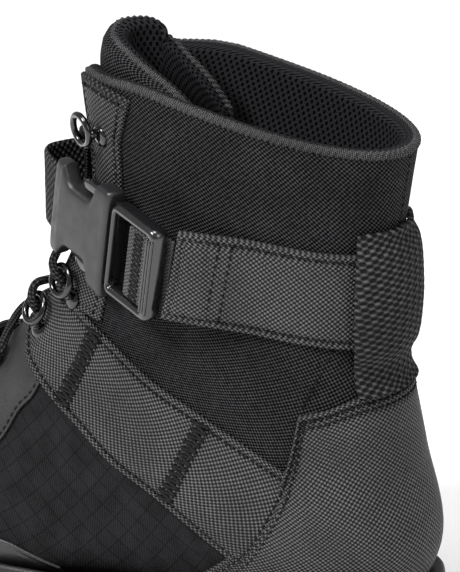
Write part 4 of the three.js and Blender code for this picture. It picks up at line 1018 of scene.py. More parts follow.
def eyestay_panel(way):
    """Round the foot of the throat to the middle of the instep."""
    outer = side_line(EYESTAY_EDGE, way)
    throat = throat_line(*(at_height_on_throat(up, way, THROAT_INSET) for up in (133, 97)), way, THROAT_INSET)
    throat = np.vstack([throat, [[way * np.pi, at_of_top(THROAT_FOOT)]]])
    front_at = at_of_top(EYESTAY_FRONT)
    foot = smooth_line([outer[-1], [way * (np.pi - 0.02), front_at], [way * np.pi, front_at]], 30)
    outer = np.vstack([outer, foot[1:]])
    ends = (smooth_line([outer[k], throat[k]], 60) for k in (0, -1))
    return Patch(outer, throat, *ends, free=("right",))


def counter_panel():
    """Round the heel, from the strap line down into the sole."""
    lateral, medial = (side_line(COUNTER_FRONT[::-1], way) for way in (1, -1))

    def level(end, line, lowest):
        turn = np.linspace(medial[end, 0], lateral[end, 0], 160)
        return level_form(turn, lambda along: np.interp(along, *line), lowest)

    return Patch(level(0, COUNTER_FOOT, 7.0), level(-1, COUNTER_TOP, 8.0), medial, lateral)


def add_panel(name, body, kind, node):
    make_piece(name, [body], [finish(kind)], [node] if node else ())


def build_overlays():
    """The sewn panels of the shaft and instep, each a slab between four edges."""
    for way, name in SIDES:
        for part, patch, thick, puff, groove, kind, slot_name in (
            ("facing", facing_panel(way), 1.6, 0.6, (FACING_SEAM, 0.8), "ballistic", "ballistic_nylon"),
            ("ankle_strap", ankle_panel(way), 2.2, 0.6, (ANKLE_SEAM, 1.0), "ballistic", "ballistic_nylon"),
            ("eyestay", eyestay_panel(way), 1.6, 0.2, (EYESTAY_SEAM, 0.3), "leather", "coated_leather"),
        ):
            body = patch.body(thick, puff=puff, groove=[groove])
            add_panel(f"{part}_panel_{name}", body, kind, f"{part}_{name}")
    body = counter_panel().body(2.6, puff=0.7, groove=[(inset, 0.9) for inset in COUNTER_SEAMS])
    add_panel("counter_panel", body, "ballistic", "heel_counter")


def build_binding():
    """The rolled binding along the top and throat edge of each facing: a tube on the panel's own
    edge, flattened against it."""
    bodies = []
    for way, _ in SIDES:
        patch = facing_panel(way)
        k = np.linspace(0.02, 0.98, 120)
        line, normal = (np.vstack(pair) for pair in zip(
            patch.line(k, np.full(120, 1 - 0.6 / patch.height), 0.9),
            patch.line(np.full(120, 1 - 0.6 / patch.width), k[::-1], 0.9),
        ))
        bodies.append(tube_body(line, 1.35, 10, normal))
    make_piece("facing_binding", bodies, [finish("webbing")])


def build_toe():
    """Toe cap: a cup from the tip back to a line over the toes, and a rand along each side."""
    turn = np.linspace(-np.pi, np.pi, 161)
    share = np.concatenate([np.linspace(0, 0.9, 40), [0.94, 0.96, 0.975, 0.985, 0.993, 0.998, 1.0]])[:, None]
    at = side_cup(turn)[None] * share
    turn = np.broadcast_to(turn, at.shape)
    base, normal = form_point(turn, at), form_normal(turn, at)
    height = SKIN * rounding(lengths_down(base), PANEL_ROUND)
    outer = base + normal * (PANEL_GAP + height)[..., None]
    points = np.concatenate([outer, (base + normal * PANEL_GAP)[::-1]])
    add_panel("toe_cap_panel", grid_body(points), "leather", "toe_cap")
    for way, name in SIDES:
        high, low = side_line(RAND_HIGH, way), side_line(RAND_LOW, way)
        rand = Patch(low, high, *(smooth_line([low[k], high[k]], 60) for k in (0, -1)))
        add_panel(f"rand_{name}", rand.body(1.2, groove=[(2.4, 0.25)]), "leather", None)


def at_of_top(up):
    """The section whose top has a height."""
    at = np.linspace(3, LAST, 800)
    return float(np.interp(up, section_at(at)[3], at))


def side_cup(turn):
    """At for each turn where the form meets the toe cap's rear line, halved in."""
    def ahead(at):
        point = form_point(turn, at)
        return -point[..., 1] > np.interp(point[..., 2], *TOE_CAP_REAR)

    return halved(ahead, np.full(turn.shape, 1.0), np.full(turn.shape, 6.0))


def lengths_down(base):
    """The length of each column of a grid from each point to its last row."""
    along = np.linalg.norm(np.diff(base, axis=0), axis=-1)
    so_far = np.concatenate([np.zeros((1, base.shape[1])), np.cumsum(along, 0)])
    return so_far[-1:] - so_far


def strap_line(offset):
    return lambda along: STRAP_HEIGHT + STRAP_RISE * along + offset


def turn_where(along, up, way=1):
    return side_form([(along, up)], way)[0, 0]


def strap_stand(base):
    """How far the collar strap stands off the form: on the outer side it leaves it about the place
    STRAP_LEAVES and climbs evenly to the buckle, by a smooth ramp."""
    past = -base[..., 1] - STRAP_LEAVES
    ramp = LEAF_SLOPE * (np.sqrt(past**2 + 36) + past) / 2
    return np.where(base[..., 0] > 0, ramp * np.clip((past + 40) / 20, 0, 1), 0)


def strap_panel():
    """The collar strap round the back of the shaft, from the buckle to the inner side."""
    def edge(side, outer_end):
        offset = side * WEBBING / 2
        line = strap_line(offset)
        inner, outer = (turn_where(along, line(along), way) for along, way in ((STRAP_STOP, -1), (outer_end, 1)))
        return level_form(np.linspace(inner, outer, 260), line)

    low, high = edge(-1, STRAP_ENDS[0]), edge(1, STRAP_ENDS[1])
    return Patch(low, high, *(smooth_line([low[k], high[k]], 80) for k in (0, -1)), stand=strap_stand)


def build_strap():
    """The strap as a padded slab, doubled from the double row of stitches forward."""
    def doubled(base):
        return np.where(base[..., 0] > 0, np.clip((-base[..., 1] - STRAP_DOUBLED) / 1.2, 0, 1), 0) * 0.9

    body = strap_panel().body(2.2, lift=0.25, step=1.5, puff=0.6, groove=[(STRAP_SEAM, 0.9)], relief=doubled)
    add_panel("collar_strap_panel", body, "ballistic", "collar_strap")


def build_pull_loop():
    """The side view of the loop is a line of heights and distances off the shaft; each point of it
    is set out on the back of the form across the loop's width."""
    path = smooth_line(LOOP_SIDE, 160)
    across, up = np.meshgrid(np.linspace(-LOOP_HALF, LOOP_HALF, 41), path[:, 0])
    spots = face_form(np.stack([across, up], -1).reshape(-1, 2), front=False)
    turn, at = np.moveaxis(spots, -1, 0).reshape(2, *up.shape)
    base, normal = form_point(turn, at), form_normal(turn, at)
    so_far = lengths(path)[:, None]
    ribs = 0.5 * np.abs(np.sin(np.pi * (so_far + 0.3 * across) / 3.7)) - 0.25
    edge = rounding(LOOP_HALF - np.abs(across), 0.9)
    outer = base + normal * (path[:, 1:] + (1.2 + ribs) * edge)[..., None]
    inner = base + normal * (path[:, 1:] - 1.0 * edge)[..., None]
    points, uv = folded(outer, inner, np.stack(np.broadcast_arrays(across, so_far), -1))
    add_panel("pull_loop_webbing", grid_body(points, uv), "webbing", "pull_loop")


def build_front_webbing():
    """The plan of the webbing is a smooth line from under the buckle round the front of the shaft
    to the strap's inner end; it climbs forward as the strap does."""
    start = [buckle_point(share * BUCKLE_LENGTH, 0, -BUCKLE_UNDER - 1.1)[:2] for share in WEBBING_UNDER_BUCKLE]
    rest = np.array(WEBBING_PLAN) * [SHAFT_WIDTH / 2, -SHAFT_DEPTH]
    plan = smooth_line(np.array([*start, *rest]), 150)
    line = np.column_stack([plan, STRAP_HEIGHT - STRAP_RISE * plan[:, 1]])
    up = np.broadcast_to([0.0, 0.0, 1.0], line.shape)

    def ribs(so_far, across):
        return 0.15 * np.abs(np.sin(np.pi * (so_far + 0.2 * across) / 2.4))

    body = ribbon_body(line, up, TAPE, TAPE_THICK, ribs, columns=30)
    add_panel("front_webbing_strap", body, "webbing", "front_webbing")


def buckle_axes():
    """The buckle's own directions, from the turn and rise that its solids have: along it, down its
    width and out of its face."""
    turn, rise = np.radians(BUCKLE_TURN), np.arctan(BUCKLE_RISE)
    u = np.array([-np.sin(turn) * np.cos(rise), -np.cos(turn) * np.cos(rise), np.sin(rise)])
    t = np.array([np.cos(turn), -np.sin(turn), 0])
    return u, np.cross(t, u), t


def buckle_start():
    """Where the buckle's frame starts, from the points of its two solids."""
    u, w, t = buckle_axes()
    male, female = (node_points(name) for name in ("buckle_male", "buckle_female"))
    both = np.vstack([male, female])
    middle = ((both @ w).min() + (both @ w).max()) / 2
    return u * (male @ u).min() + w * middle + t * ((female @ t).max() - BUCKLE_TOP)


def node_points(name):
    mesh = bpy.data.objects[name].data
    points = np.empty(len(mesh.vertices) * 3)
    mesh.vertices.foreach_get("co", points)
    return points.reshape(-1, 3) * 1000 - ORIGIN


BUCKLE_AXES = buckle_axes()
BUCKLE_START = buckle_start()


def buckle_point(u, w, t):
    """A place given along, down and out of the buckle."""
    u, w, t = (np.asarray(k, float)[..., None] for k in (u, w, t))
    return BUCKLE_START + u * BUCKLE_AXES[0] + w * BUCKLE_AXES[1] + t * BUCKLE_AXES[2]


def squared(angle, corner):
    """Cosine and sine of the angle, pushed out towards a square's corners: a superellipse."""
    c, s = np.cos(angle), np.sin(angle)
    power = 2 / corner
    return np.sign(c) * np.abs(c) ** power, np.sign(s) * np.abs(s) ** power


def placed(u, w, t):
    """One closed grid of the buckle's places as a body."""
    return grid_body(buckle_point(*np.broadcast_arrays(u, w, t)))


def frame_body(outer, inner, top, bottom, corner):
    """A closed frame: a rounded bar carried round between an outer and an inner outline."""
    c, s = squared(np.linspace(0, 2 * np.pi, 29), corner)
    plan = inner[:, None] + (outer - inner)[:, None] * (0.5 + 0.5 * c)[None, :, None]
    return placed(plan[..., 0], plan[..., 1], (top + bottom) / 2 + (top - bottom) / 2 * s)


def rounded_box(u0, u1, w0, w1, radius):
    """The outline of a rectangle with round corners: one quarter of it, turned over three times."""
    half_u, half_w = (u1 - u0) / 2, (w1 - w0) / 2
    straight_u, straight_w = half_u - radius, half_w - radius
    t = np.linspace(0, 1, 25)
    bend = t * np.pi / 2
    quarter = np.concatenate([
        np.stack([np.full(25, half_u), t * straight_w], -1)[:-1],
        np.stack([straight_u + radius * np.cos(bend), straight_w + radius * np.sin(bend)], -1),
        np.stack([straight_u * (1 - t), np.full(25, half_w)], -1)[1:],
    ])
    whole = np.concatenate([
        quarter[:-1], (quarter * [-1, 1])[::-1][:-1], (quarter * [-1, -1])[:-1], (quarter * [1, -1])[::-1],
    ])
    return whole + [(u0 + u1) / 2, (w0 + w1) / 2]


def loft_body(stations):
    """A body carried along the buckle: at each station a rounded rectangle with its own half
    width, top, bottom and squareness, drawn in to its middle at both ends."""
    u, half_wide, top, bottom, corner = (k[:, None] for k in np.array(stations, float).T)
    c, s = squared(np.linspace(0, 2 * np.pi, 57), corner)
    w, t = half_wide * c, (top + bottom) / 2 + (top - bottom) / 2 * s
    rings = np.stack(np.broadcast_arrays(u, w, t), -1)
    middle = rings.mean(1, keepdims=True)
    caps = [middle[:1] + (rings[:1] - middle[:1]) * k for k in (0, 0.5, 0.9)]
    ends = [middle[-1:] + (rings[-1:] - middle[-1:]) * k for k in (0.9, 0.5, 0)]
    return placed(*np.moveaxis(np.concatenate([*caps, rings, *ends]), -1, 0))


def build_male_half():
    """A frame with a bar and two prongs, and three ridges down its outer bar."""
    high, low = BUCKLE_TOP * 0.75, -BUCKLE_UNDER
    outer = rounded_box(0, FRAME_LENGTH, -HALF_BUCKLE, HALF_BUCKLE, 3.6)
    inner = rounded_box(5.2, FRAME_LENGTH - 2.6, -HALF_BUCKLE + 4.4, HALF_BUCKLE - 4.4, 1.2)
    bodies = [frame_body(outer, inner, high, low, corner=2.4), bar_body(*BAR, -17, 17, 1.4)]
    bodies += [prong_body(sign) for sign in (-1, 1)]
    bodies += [bar_body(u - 0.6, u + 0.6, -16.5, 16.5, 0.7, high - 0.1) for u in (1.3, 2.8, 4.3)]
    make_piece("buckle_male_half", bodies, [finish("polished")], ["buckle_male"], sharp=60)


def build_female_half():
    """A body lofted along the buckle: wide at its mouth, drawn in at the side windows where the
    prongs show, and square at its tail. Each row is a station, the half width, the top and the
    bottom, from the wide end's, and the squareness of the section."""
    start, end = FRAME_LENGTH + 0.3, BUCKLE_LENGTH
    full, waist, tail = HALF_BUCKLE + MOUTH_FLARE, FEMALE_WAIST, HALF_BUCKLE
    rows = [
        (0, full - 0.9, -0.9, 0.6, 6), (0.25, full - 0.3, -0.3, 0.15, 6), (0.8, full, 0, 0, 7), (3.0, full, 0, 0, 7),
        (3.3, full - 0.1, -0.55, 0, 7), (8.8, full - 0.4, -0.6, 0, 7), (9.6, full - 0.8, -0.6, 0, 7),
        (10.2, full - 1.8, -0.6, 0, 7), (11.2, full - 5, -0.55, 0, 6), (12.6, waist + 1.6, -0.55, 0, 6),
        (14.2, waist + 0.2, -0.55, 0, 6), (16, waist, -0.55, 0, 6), (25, waist, -0.65, 0, 6),
        (27, waist + 0.3, -0.7, 0, 6), (29, waist + 1.8, -0.75, 0, 6), (31, tail - 2.2, -0.8, 0, 6),
        (31.8, tail - 0.7, -0.85, 0, 7), (32.6, tail, -0.9, 0, 7), (33.4, tail, -1.6, 0, 7),
        (35.6, tail, -1.9, 0, 7), (37.5, tail, -2.3, 0, 6), (38.3, tail - 0.3, -2.7, 0.3, 6),
        (38.7, tail - 1.0, -3.4, 0.9, 5),
    ]
    stations = [(start + u * (end - start) / rows[-1][0], wide, BUCKLE_TOP + top, low - BUCKLE_UNDER, corner)
                for u, wide, top, low, corner in rows]
    make_piece("buckle_female_half", [loft_body(stations)], [finish("acetal")], ["buckle_female"], sharp=50)


def bar_body(u0, u1, w0, w1, radius, middle=0.0):
    """A rounded bar down the width of the buckle."""
    angle = np.linspace(0, 2 * np.pi, 17)
    w = np.concatenate([[w0, w0 + 0.2], np.linspace(w0 + 0.6, w1 - 0.6, 12), [w1 - 0.2, w1]])[:, None]
    scale = np.concatenate([[0, 0.75], np.ones(12), [0.75, 0]])[:, None]
    return placed((u0 + u1) / 2 + (u1 - u0) / 2 * scale * np.cos(angle), w, middle + radius * scale * np.sin(angle))


def prong_body(sign):
    """One prong: a flat finger from the frame forward, thickened to a barb that fills the side
    window. Its stations are given along, out to the side, half the width and half the thickness."""
    u, centre, half_wide, half_thick = (k[:, None] for k in np.array(PRONG_STATIONS).T)
    c, s = squared(np.linspace(0, 2 * np.pi, 25), 4)
    rings = np.stack(np.broadcast_arrays(u, centre + half_wide * c, half_thick * s), -1)
    middle = rings.mean(1, keepdims=True)
    first, last = (np.broadcast_to(middle[k], rings[:1].shape) for k in (0, -1))
    return placed(*np.moveaxis(np.concatenate([first, rings, last]) * [1, sign, 1], -1, 0))


def build_tape():
    """The folded webbing: in under the frame's outer bar, round the middle bar and back on itself,
    held by a column of short loop stitches."""
    over = BAR_HALF + CLEAR + TAPE_THICK / 2
    below = BUCKLE_UNDER + CLEAR + TAPE_THICK / 2
    near, far = BAR
    path = smooth_line([
        (-1.4, -below), (5.5, -below), (near, -over - 0.4), (far, -over),
        (far + over * 0.75, -over * 0.7), (far + over, 0), (far + over * 0.75, over * 0.7), (far, over), (5.4, over),
    ], 90)
    line = buckle_point(path[:, 0], 0 * path[:, 0], path[:, 1])
    across = np.broadcast_to(BUCKLE_AXES[1], line.shape)
    body = ribbon_body(line, across, TAPE, TAPE_THICK, columns=30)
    add_panel("buckle_tape_webbing", body, "tape", "buckle_tape")
    angle = np.linspace(0, 2 * np.pi, 25)
    up = np.full(25, over + TAPE_THICK / 2 + 0.15)
    loops = [tube_body(buckle_point(10.6 + 2.6 * np.cos(angle), w + 0.75 * np.sin(angle), up), 0.36, 6, closed=True)
             for w in np.linspace(-13.8, 13.8, 13)]
    make_piece("tape_loop_stitches", loops, [finish("thread")])


def stay_frame(up, across, way):
    """Directions at a lace stay: across the boot, up along the throat and out of the surface, and
    the place where it stands."""
    spot = face_form([(way * across, up), (way * across, up + 2.75)])
    point = form_point(spot[:, 0], spot[:, 1])
    rise = unit(point[1] - point[0])
    normal = form_normal(spot[0, 0], spot[0, 1])
    out = unit(normal - rise * (normal @ rise))
    return np.array([np.cross(rise, out), rise, out]), point[0] + out * (SKIN + 0.6)


def in_frame(local, axes, seat):
    return seat + np.asarray(local) @ axes


def build_stays():
    """Wire rings that lie flat over the throat's edge, each on a shank and a round rivet, for the
    upper stays, and bent flat loops for the lower ones."""
    turn, round_ = np.meshgrid(np.linspace(0, 2 * np.pi, 49), np.linspace(0, 2 * np.pi, 17), indexing="ij")
    reach = RING_RADIUS + RING_WIRE * np.cos(round_)
    stands = RING_WIRE * np.sin(round_) + RING_STAND
    ring = np.stack([reach * np.cos(turn), reach * np.sin(turn) + RING_RISE, stands], -1)
    profile = np.array([
        (0, -0.6), (4.4, -0.6), (4.6, -0.2), (4.6, 0.3), (4.3, 0.75), (3.6, 1.15), (2.4, 1.5), (0, 1.6)])
    angle = np.linspace(0, 2 * np.pi, 33)
    rivet = np.stack([profile[:, :1] * np.cos(angle), profile[:, :1] * np.sin(angle),
                      np.broadcast_to(profile[:, 1:], (len(profile), 33))], -1)
    shank = smooth_line([(0, 1.0, 0.8), (0, 1.8, 2.6), (0, 2.6, RING_STAND)], 12)
    arch = smooth_line([(-5.3, -0.4), (-5.2, 1.2), (-4.7, 3.4), (-3.4, 4.5), (0, 4.7), (3.4, 4.5), (4.7, 3.4),
                        (5.2, 1.2), (5.3, -0.4)], 40)
    for name, up, across in STAYS:
        for way, side in SIDES:
            axes, seat = stay_frame(up, across, way)
            if "ring" in name:
                swung = ring - [way * RING_SWING, 0, 0]
                bodies = [grid_body(in_frame(swung, axes, seat)), grid_body(in_frame(rivet, axes, seat)),
                          tube_body(in_frame(shank, axes, seat), 2.0, 10)]
            else:
                line = in_frame(np.column_stack([np.zeros(40), arch]), axes, seat)
                bodies = [ribbon_body(line, np.broadcast_to(axes[0], line.shape), 8, 1.3, columns=10)]
            make_piece(f"{name}_{side}_metal", bodies, [finish("steel")], [f"{name}_{side}"], sharp=50)


# The lace's points at each kind of stay: across, up the throat and out of the surface
LACE_AT = {
    "loop": [(-6, -1.5, 2.4), (0, 0, 2.4), (4.5, 0.6, 2.2), (6.4, 4.6, 2.4), (3.5, 8.4, 2.6), (-4, 9.6, 2.4)],
    "ring": [(-15, 0.5, 2.0), (-11.4, 1.9, 1.7), (-7.6, 3.4, 2.4), (-5.4, 4.8, 4.8), (-7.4, 6.2, 7.6),
             (-11.6, 7.6, 7.9), (-15.5, 9.0, 5.6)],
    "end": [(-15, 0.5, 1.6), (-11.4, 1.9, 1.7), (-8.0, 3.4, 2.4), (-6.0, 4.4, 4.2)],
}
LACE_INSET = {"loop": 8, "ring": 16}  # where a crossing starts and ends beside a stay
LACE_LEAVES = 9  # above a stay
LACE_LIFT = 3.4
LACE_CROSSES = 1.6  # the upper run's further lift where the runs cross
LONG_CROSSING = 40


def build_lace():
    """Two runs from the bar at the bottom, crossing over the tongue. Each goes out through a stay,
    round its upper side and back in, and both end in the top rings."""
    bodies = []
    for first in (1, -1):
        way = first
        middle = face_form([(0.0, STAYS[0][1] - 1)])[0]
        points = [form_point(*middle) + form_normal(*middle) * (SKIN + LACE_RADIUS + 1.5)]
        for stay, following in zip(STAYS, STAYS[1:] + [None]):
            name, up, across = stay
            axes, seat = stay_frame(up, across, way)
            local = LACE_AT[name[5:9] if following else "end"]
            points += [in_frame((way * x, y, z), axes, seat) for x, y, z in local]
            if following:
                inset, there_inset = (LACE_INSET[k[0][5:9]] for k in (stay, following))
                here, there = (up + LACE_LEAVES, across - inset), (following[1], following[2] - there_inset)
                steps = 5 if following[1] - up > LONG_CROSSING else 2
                for share in np.linspace(0, 1, steps + 2)[1:-1]:
                    x = way * here[1] * (1 - share) - way * there[1] * share
                    spot = face_form([(x, here[0] * (1 - share) + there[0] * share)])[0]
                    lift = LACE_LIFT + (LACE_CROSSES if first > 0 else 0) * np.sin(np.pi * share)
                    points.append(form_point(*spot) + form_normal(*spot) * lift)
                way = -way
        bodies.append(tube_body(smooth_line(np.array(points), 620), LACE_RADIUS, 12))
    make_piece("lace_cord", bodies, [finish("lace")], ["lace"])


def sole_outline(grow):
    """The sole's plan as a smooth closed line, moved in or out by each of several distances."""
    along = -(SOLE_PLAN[:, 0] * SOLE_LENGTH - SOLE_OVERHANG)
    lateral = np.stack([SOLE_PLAN[:, 1] * SOLE_WIDTH, along], -1)
    medial = np.stack([-SOLE_PLAN[1:-1, 2] * SOLE_WIDTH, along[1:-1]], -1)
    line = smooth_line(np.vstack([lateral, medial[::-1]]), 361, closed=True)
    run = unit(np.roll(line[:-1], -1, 0) - np.roll(line[:-1], 1, 0))
    out = np.stack([run[:, 1], -run[:, 0]], -1)
    out = np.vstack([out, out[:1]])
    if np.sum(out[:-1] * (line[:-1] - line[:-1].mean(0))) < 0:
        out = -out
    return line[None] + out[None] * grow[:, None, None]


def sole_height(plan, column, size):
    """The height of the sole's edge or seam at places of its plan."""
    along = (SOLE_OVERHANG - plan[..., 1]) / SOLE_LENGTH
    return np.interp(along, SOLE_SIDE[:, 0], SOLE_SIDE[:, column]) * size


# The midsole's wall from its seam up, as shares of its height, and how far in it stands: two grooves
# and a rolled top
WALL_UP = np.array([
    0, 0.02, 0.06, 0.12, 0.2, 0.26, 0.3, 0.34, 0.4, 0.5,
    0.6, 0.68, 0.72, 0.76, 0.82, 0.9, 0.95, 0.985, 1.0])
WALL_OUT = -np.array([
    2.6, 1.9, 1.6, 1.5, 1.45, 1.5, 2.3, 1.5, 1.45, 1.5,
    1.6, 1.7, 2.4, 1.8, 1.9, 2.1, 2.4, 3.0, 4.0])
SOLE_INWARD = (7.0, 11.0)  # where the wall closes over, and how far down
SOLE_DROPS = (1.5, 10.0)


def build_sole():
    """The midsole's wall: the plan carried up from the seam to the edge, its profile bulged, with
    two grooves and a rolled top. It closes over inside the upper and on the outsole."""
    plan = sole_outline(WALL_OUT)
    edge, split = sole_height(plan, 1, SOLE_EDGE), sole_height(plan, 2, SPLIT_HEIGHT) + CLEAR
    wall = np.concatenate([plan, (split + (edge - split) * WALL_UP[:, None])[..., None]], -1)
    inward = sole_outline(-np.array(SOLE_INWARD))
    top = sole_height(inward, 1, SOLE_EDGE) - np.array(SOLE_DROPS)[:, None]
    low = sole_height(inward, 2, SPLIT_HEIGHT) + CLEAR
    top, low = (np.concatenate([inward, k[..., None]], -1) for k in (top, low))
    points = np.concatenate([low[::-1], wall, top, low[1:]])
    add_panel("midsole_wall", grid_body(points), "foam", "midsole")
    for name, kind in (("outsole", "rubber"), ("insole_board", "mesh")):
        mesh = bpy.data.objects[name].data
        if not mesh.materials:
            mesh.materials.append(finish(kind))
        for place in bpy.data.objects[name].material_slots:
            place.link = "OBJECT"
            place.material = finish(kind)


def build_seams():
    """Rows of stitches beside the panels' edges, and the zigzag tacks on the ankle straps."""
    sizes = bpy.context.scene.boot_sizes
    pitch, long = sizes.stitch_pitch * 1000, sizes.stitch_length * 1000
    rows = []
    for way, _ in SIDES:
        ankle, facing, eyestay = ankle_panel(way), facing_panel(way), eyestay_panel(way)
        rows += [patch.row(edge, inset, lift, 0.01, 0.99) for patch, edge, inset, lift in (
            (ankle, "low", ANKLE_SEAM, 2.3), (ankle, "high", ANKLE_SEAM, 2.3), (facing, "left", FACING_SEAM, 1.8),
            (facing, "high", FACING_TOP_SEAM, 1.9), (facing, "right", FACING_TOP_SEAM, 1.9),
            (eyestay, "low", EYESTAY_SEAM, 1.8),
        )]
        rows += [side_seam(points, way) for points in SHAFT_SEAMS]
    counter, strap = counter_panel(), strap_panel()
    rows += [counter.row(edge, inset, 3.1, 0.02, 0.98)
             for inset in COUNTER_SEAMS for edge in ("left", "right", "high")]
    rows += [strap.row(edge, STRAP_SEAM, 2.4, 0.005, 0.995) for edge in ("low", "high")]
    outer_half = np.linspace(0.5, 1, 60)
    along = -form_point(*strap.at(outer_half, np.full(60, 0.5)))[:, 1]
    for where in STRAP_ROWS:
        rows.append(strap.line(np.full(60, np.interp(where, along, outer_half)), np.linspace(0.08, 0.92, 60), 2.9))
    bodies = [stitch_bodies(*row, pitch=pitch, length=long) for row in rows]
    make_piece("seam_stitches", bodies, [finish("thread")])
    tacks = [bartack_body(high, low, way) for way, _ in SIDES for high, low in BARTACKS]
    make_piece("strap_bartacks", tacks, [finish("thread")])


def bartack_body(high, low, way):
    """A thick zigzag of thread between two points of the side view."""
    high, low = np.array(high, float), np.array(low, float)
    share = np.linspace(0, 1, 26)[:, None]
    sway = np.where(np.arange(26) % 2 == 0, -BARTACK_HALF, BARTACK_HALF)[:, None]
    run = unit(low - high)
    spots = high + (low - high) * share + sway * [-run[1], run[0]]
    spot = side_form(by_length(spots, 400), way)
    normal = form_normal(spot[:, 0], spot[:, 1])
    line = form_point(spot[:, 0], spot[:, 1]) + normal * BARTACK_LIFT
    return tube_body(line, BARTACK_THREAD, 6, normal=normal)


def side_seam(points, way):
    """A line in the side view laid on the form, with its outward directions."""
    spot = side_line(points, way)
    normal = form_normal(spot[:, 0], spot[:, 1])
    return form_point(spot[:, 0], spot[:, 1]) + normal * 0.1, normal


def build_collar_piping():
    """Twisted piping along the inside of the collar's rim, from corner to corner."""
    low, high = (throat_turn(np.array([RIM - 0.3]), way, 2.0)[0] for way in (-1, 1))
    turn = np.linspace(low, high, 500)
    at = RIM - collar_drop(turn, np.full(500, RIM))
    up = unit(form_point(turn, at + 0.05) - form_point(turn, at - 0.05))
    normal = form_normal(turn, at)
    line = form_point(turn, at) + normal * -1.2 + up * 2.0
    make_piece("collar_piping", [rope_body(line, normal)], [finish("piping")])


FLOOR_HALF = 6.0
LAMP_AIM = np.array([0.0, 0.1, 0.17])
# Each lamp: its bearing, its height and distance from its aim, its power and how wide it is
LAMPS = (("key", 62, 1.3, 1.3, 42.0, 0.5), ("fill", 165, 0.9, 1.6, 10.0, 1.0), ("top", 100, 1.7, 0.3, 20.0, 0.8))
CAMERA_PLACE, CAMERA_AIM = Vector((0.9284, 0.6186, 0.579)), Vector((0.0471, 0.0912, 0.175))
SENSOR_HEIGHT, LENS = 24.0, 121.5


def stand(name, data, place, aim):
    """An object of the stage at a place, turned to its aim."""
    item = bpy.data.objects.new(name, data)
    item.location = place
    item.rotation_euler = Vector(aim - place).to_track_quat("-Z", "Y").to_euler()
    bpy.context.scene.collection.objects.link(item)
    return item


def build_stage():
    """A pale floor, an even white room light, three large soft lamps and the camera at the photo's
    angle to the boot."""
    scene = bpy.context.scene
    mesh = bpy.data.meshes.new("floor")
    corners = [(x * FLOOR_HALF, y * FLOOR_HALF, 0) for x, y in ((-1, -1), (1, -1), (1, 1), (-1, 1))]
    mesh.from_pydata(corners, [], [(0, 1, 2, 3)])
    floor = bpy.data.objects.new("floor", mesh)
    scene.collection.objects.link(floor)
    material, _ = start_material("matt_white_paper", {"Base Color": linear("f6f6f6"), "Roughness": 0.9})
    mesh.materials.append(material)
    scene.view_settings.view_transform = "Standard"
    world = bpy.data.worlds.new("studio")
    scene.world = world
    world.use_nodes = True
    background = world.node_tree.nodes["Background"]
    background.inputs["Color"].default_value = (1, 1, 1, 1)
    background.inputs["Strength"].default_value = scene.boot_sizes.room_light
    for name, bearing, height, distance, power, wide in LAMPS:
        lamp = bpy.data.lights.new(name, "AREA")
        lamp.shape, lamp.size, lamp.energy = "DISK", wide, power
        turn = np.radians(bearing)
        stand(name, lamp, LAMP_AIM + [np.sin(turn) * distance, -np.cos(turn) * distance, height], LAMP_AIM)
    lens = bpy.data.cameras.new("camera")
    lens.sensor_fit, lens.sensor_height, lens.lens = "VERTICAL", SENSOR_HEIGHT, LENS
    lens.clip_end = 20
    scene.camera = stand("camera", lens, CAMERA_PLACE, CAMERA_AIM)


def size(name, description, default):
    return bpy.props.FloatProperty(name=name, description=description, default=default, unit="LENGTH", min=0.0)


class BootSizes(bpy.types.PropertyGroup):
    """Sizes of the boot's finer parts and the strength of the room's light."""

    stitch_pitch: size("Stitch pitch", "From one stitch of a seam to the next", 0.0032)
    stitch_length: size("Stitch length", "Visible length of one stitch", 0.0025)
    room_light: bpy.props.FloatProperty(
        name="Room light", description="Strength of the even light round the boot", default=0.42, min=0.0)


def colour(name, code):
    return bpy.props.FloatVectorProperty(
        name=name, description=f"Colour of the {name.lower()} where it catches the light",
        default=linear(code), size=4, subtype="COLOR", min=0.0, max=1.0)


class BootColours(bpy.types.PropertyGroup):
    """One colour for each finish."""

    __annotations__ = {
        key: colour(name.replace("_", " ").capitalize(), code) for key, (_, name, code, _) in FINISHES.items()
    }


class BOOT_OT_stage(bpy.types.Operator):
    """Add the floor, the lights and the camera"""

    bl_idname = "boot.stage"
    bl_label = "Stage"

    def execute(self, context):
        build_stage()
        return {"FINISHED"}


class BOOT_OT_upper(bpy.types.Operator):
    """Add the hollow upper with its padded collar and the piping on its rim"""

    bl_idname = "boot.upper"
    bl_label = "Upper"

    def execute(self, context):
        build_upper()
        build_collar_piping()
        return {"FINISHED"}


class BOOT_OT_tongue(bpy.types.Operator):
    """Add the padded tongue and its piping"""

    bl_idname = "boot.tongue"
    bl_label = "Tongue"

    def execute(self, context):
        build_tongue()
        return {"FINISHED"}


class BOOT_OT_panels(bpy.types.Operator):
    """Add the facings with their binding, the ankle straps, eyestays, counter, toe cap and rands"""

    bl_idname = "boot.panels"
    bl_label = "Sewn panels"

    def execute(self, context):
        build_overlays()
        build_binding()
        build_toe()
        return {"FINISHED"}


class BOOT_OT_straps(bpy.types.Operator):
    """Add the collar strap, the front webbing and the pull loop"""

    bl_idname = "boot.straps"
    bl_label = "Straps and pull loop"

    def execute(self, context):
        build_strap()
        build_front_webbing()
        build_pull_loop()
        return {"FINISHED"}


class BOOT_OT_buckle(bpy.types.Operator):
    """Add both halves of the side-release buckle and the webbing folded through it"""

    bl_idname = "boot.buckle"
    bl_label = "Buckle"

    def execute(self, context):
        build_male_half()
        build_female_half()
        build_tape()
        return {"FINISHED"}


class BOOT_OT_stays(bpy.types.Operator):
    """Add the lace rings and lace loops"""

    bl_idname = "boot.stays"
    bl_label = "Rings and lace loops"

    def execute(self, context):
        build_stays()
        return {"FINISHED"}


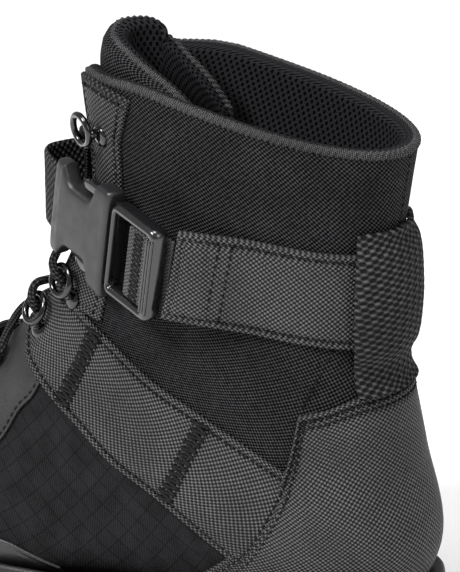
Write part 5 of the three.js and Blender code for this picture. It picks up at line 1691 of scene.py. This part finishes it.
class BOOT_OT_lace(bpy.types.Operator):
    """Add the lace, run through its loops and rings"""

    bl_idname = "boot.lace"
    bl_label = "Lace"

    def execute(self, context):
        build_lace()
        return {"FINISHED"}


class BOOT_OT_sole(bpy.types.Operator):
    """Add the midsole and give the outsole and insole board their materials"""

    bl_idname = "boot.sole"
    bl_label = "Sole"

    def execute(self, context):
        build_sole()
        return {"FINISHED"}


class BOOT_OT_seams(bpy.types.Operator):
    """Add the rows of stitches and the bartacks"""

    bl_idname = "boot.seams"
    bl_label = "Seams"

    def execute(self, context):
        build_seams()
        return {"FINISHED"}


OPERATORS = (
    BOOT_OT_stage, BOOT_OT_upper, BOOT_OT_tongue, BOOT_OT_panels, BOOT_OT_straps, BOOT_OT_buckle,
    BOOT_OT_stays, BOOT_OT_lace, BOOT_OT_sole, BOOT_OT_seams,
)


class BOOT_PT_sidebar(bpy.types.Panel):
    """Lists the boot's sizes, colours and pieces"""

    bl_label = "Tactical Boot"
    bl_idname = "BOOT_PT_sidebar"
    bl_space_type = "VIEW_3D"
    bl_region_type = "UI"
    bl_category = "Boot"

    def draw(self, context):
        for group in (context.scene.boot_sizes, context.scene.boot_colours):
            for key in group.__class__.__annotations__:
                self.layout.prop(group, key)
        for operator in OPERATORS:
            self.layout.operator(operator.bl_idname)


CLASSES = (BootSizes, BootColours, *OPERATORS, BOOT_PT_sidebar)


def register():
    for kind in CLASSES:
        bpy.utils.register_class(kind)
    bpy.types.Scene.boot_sizes = bpy.props.PointerProperty(type=BootSizes)
    bpy.types.Scene.boot_colours = bpy.props.PointerProperty(type=BootColours)


def unregister():
    del bpy.types.Scene.boot_sizes
    del bpy.types.Scene.boot_colours
    for kind in reversed(CLASSES):
        bpy.utils.unregister_class(kind)


def main():
    register()
    bpy.ops.boot.stage()
    bpy.ops.boot.upper()
    bpy.ops.boot.tongue()
    bpy.ops.boot.panels()
    bpy.ops.boot.straps()
    bpy.ops.boot.buckle()
    bpy.ops.boot.stays()
    bpy.ops.boot.lace()
    bpy.ops.boot.sole()
    bpy.ops.boot.seams()


if __name__ == "__main__":
    main()
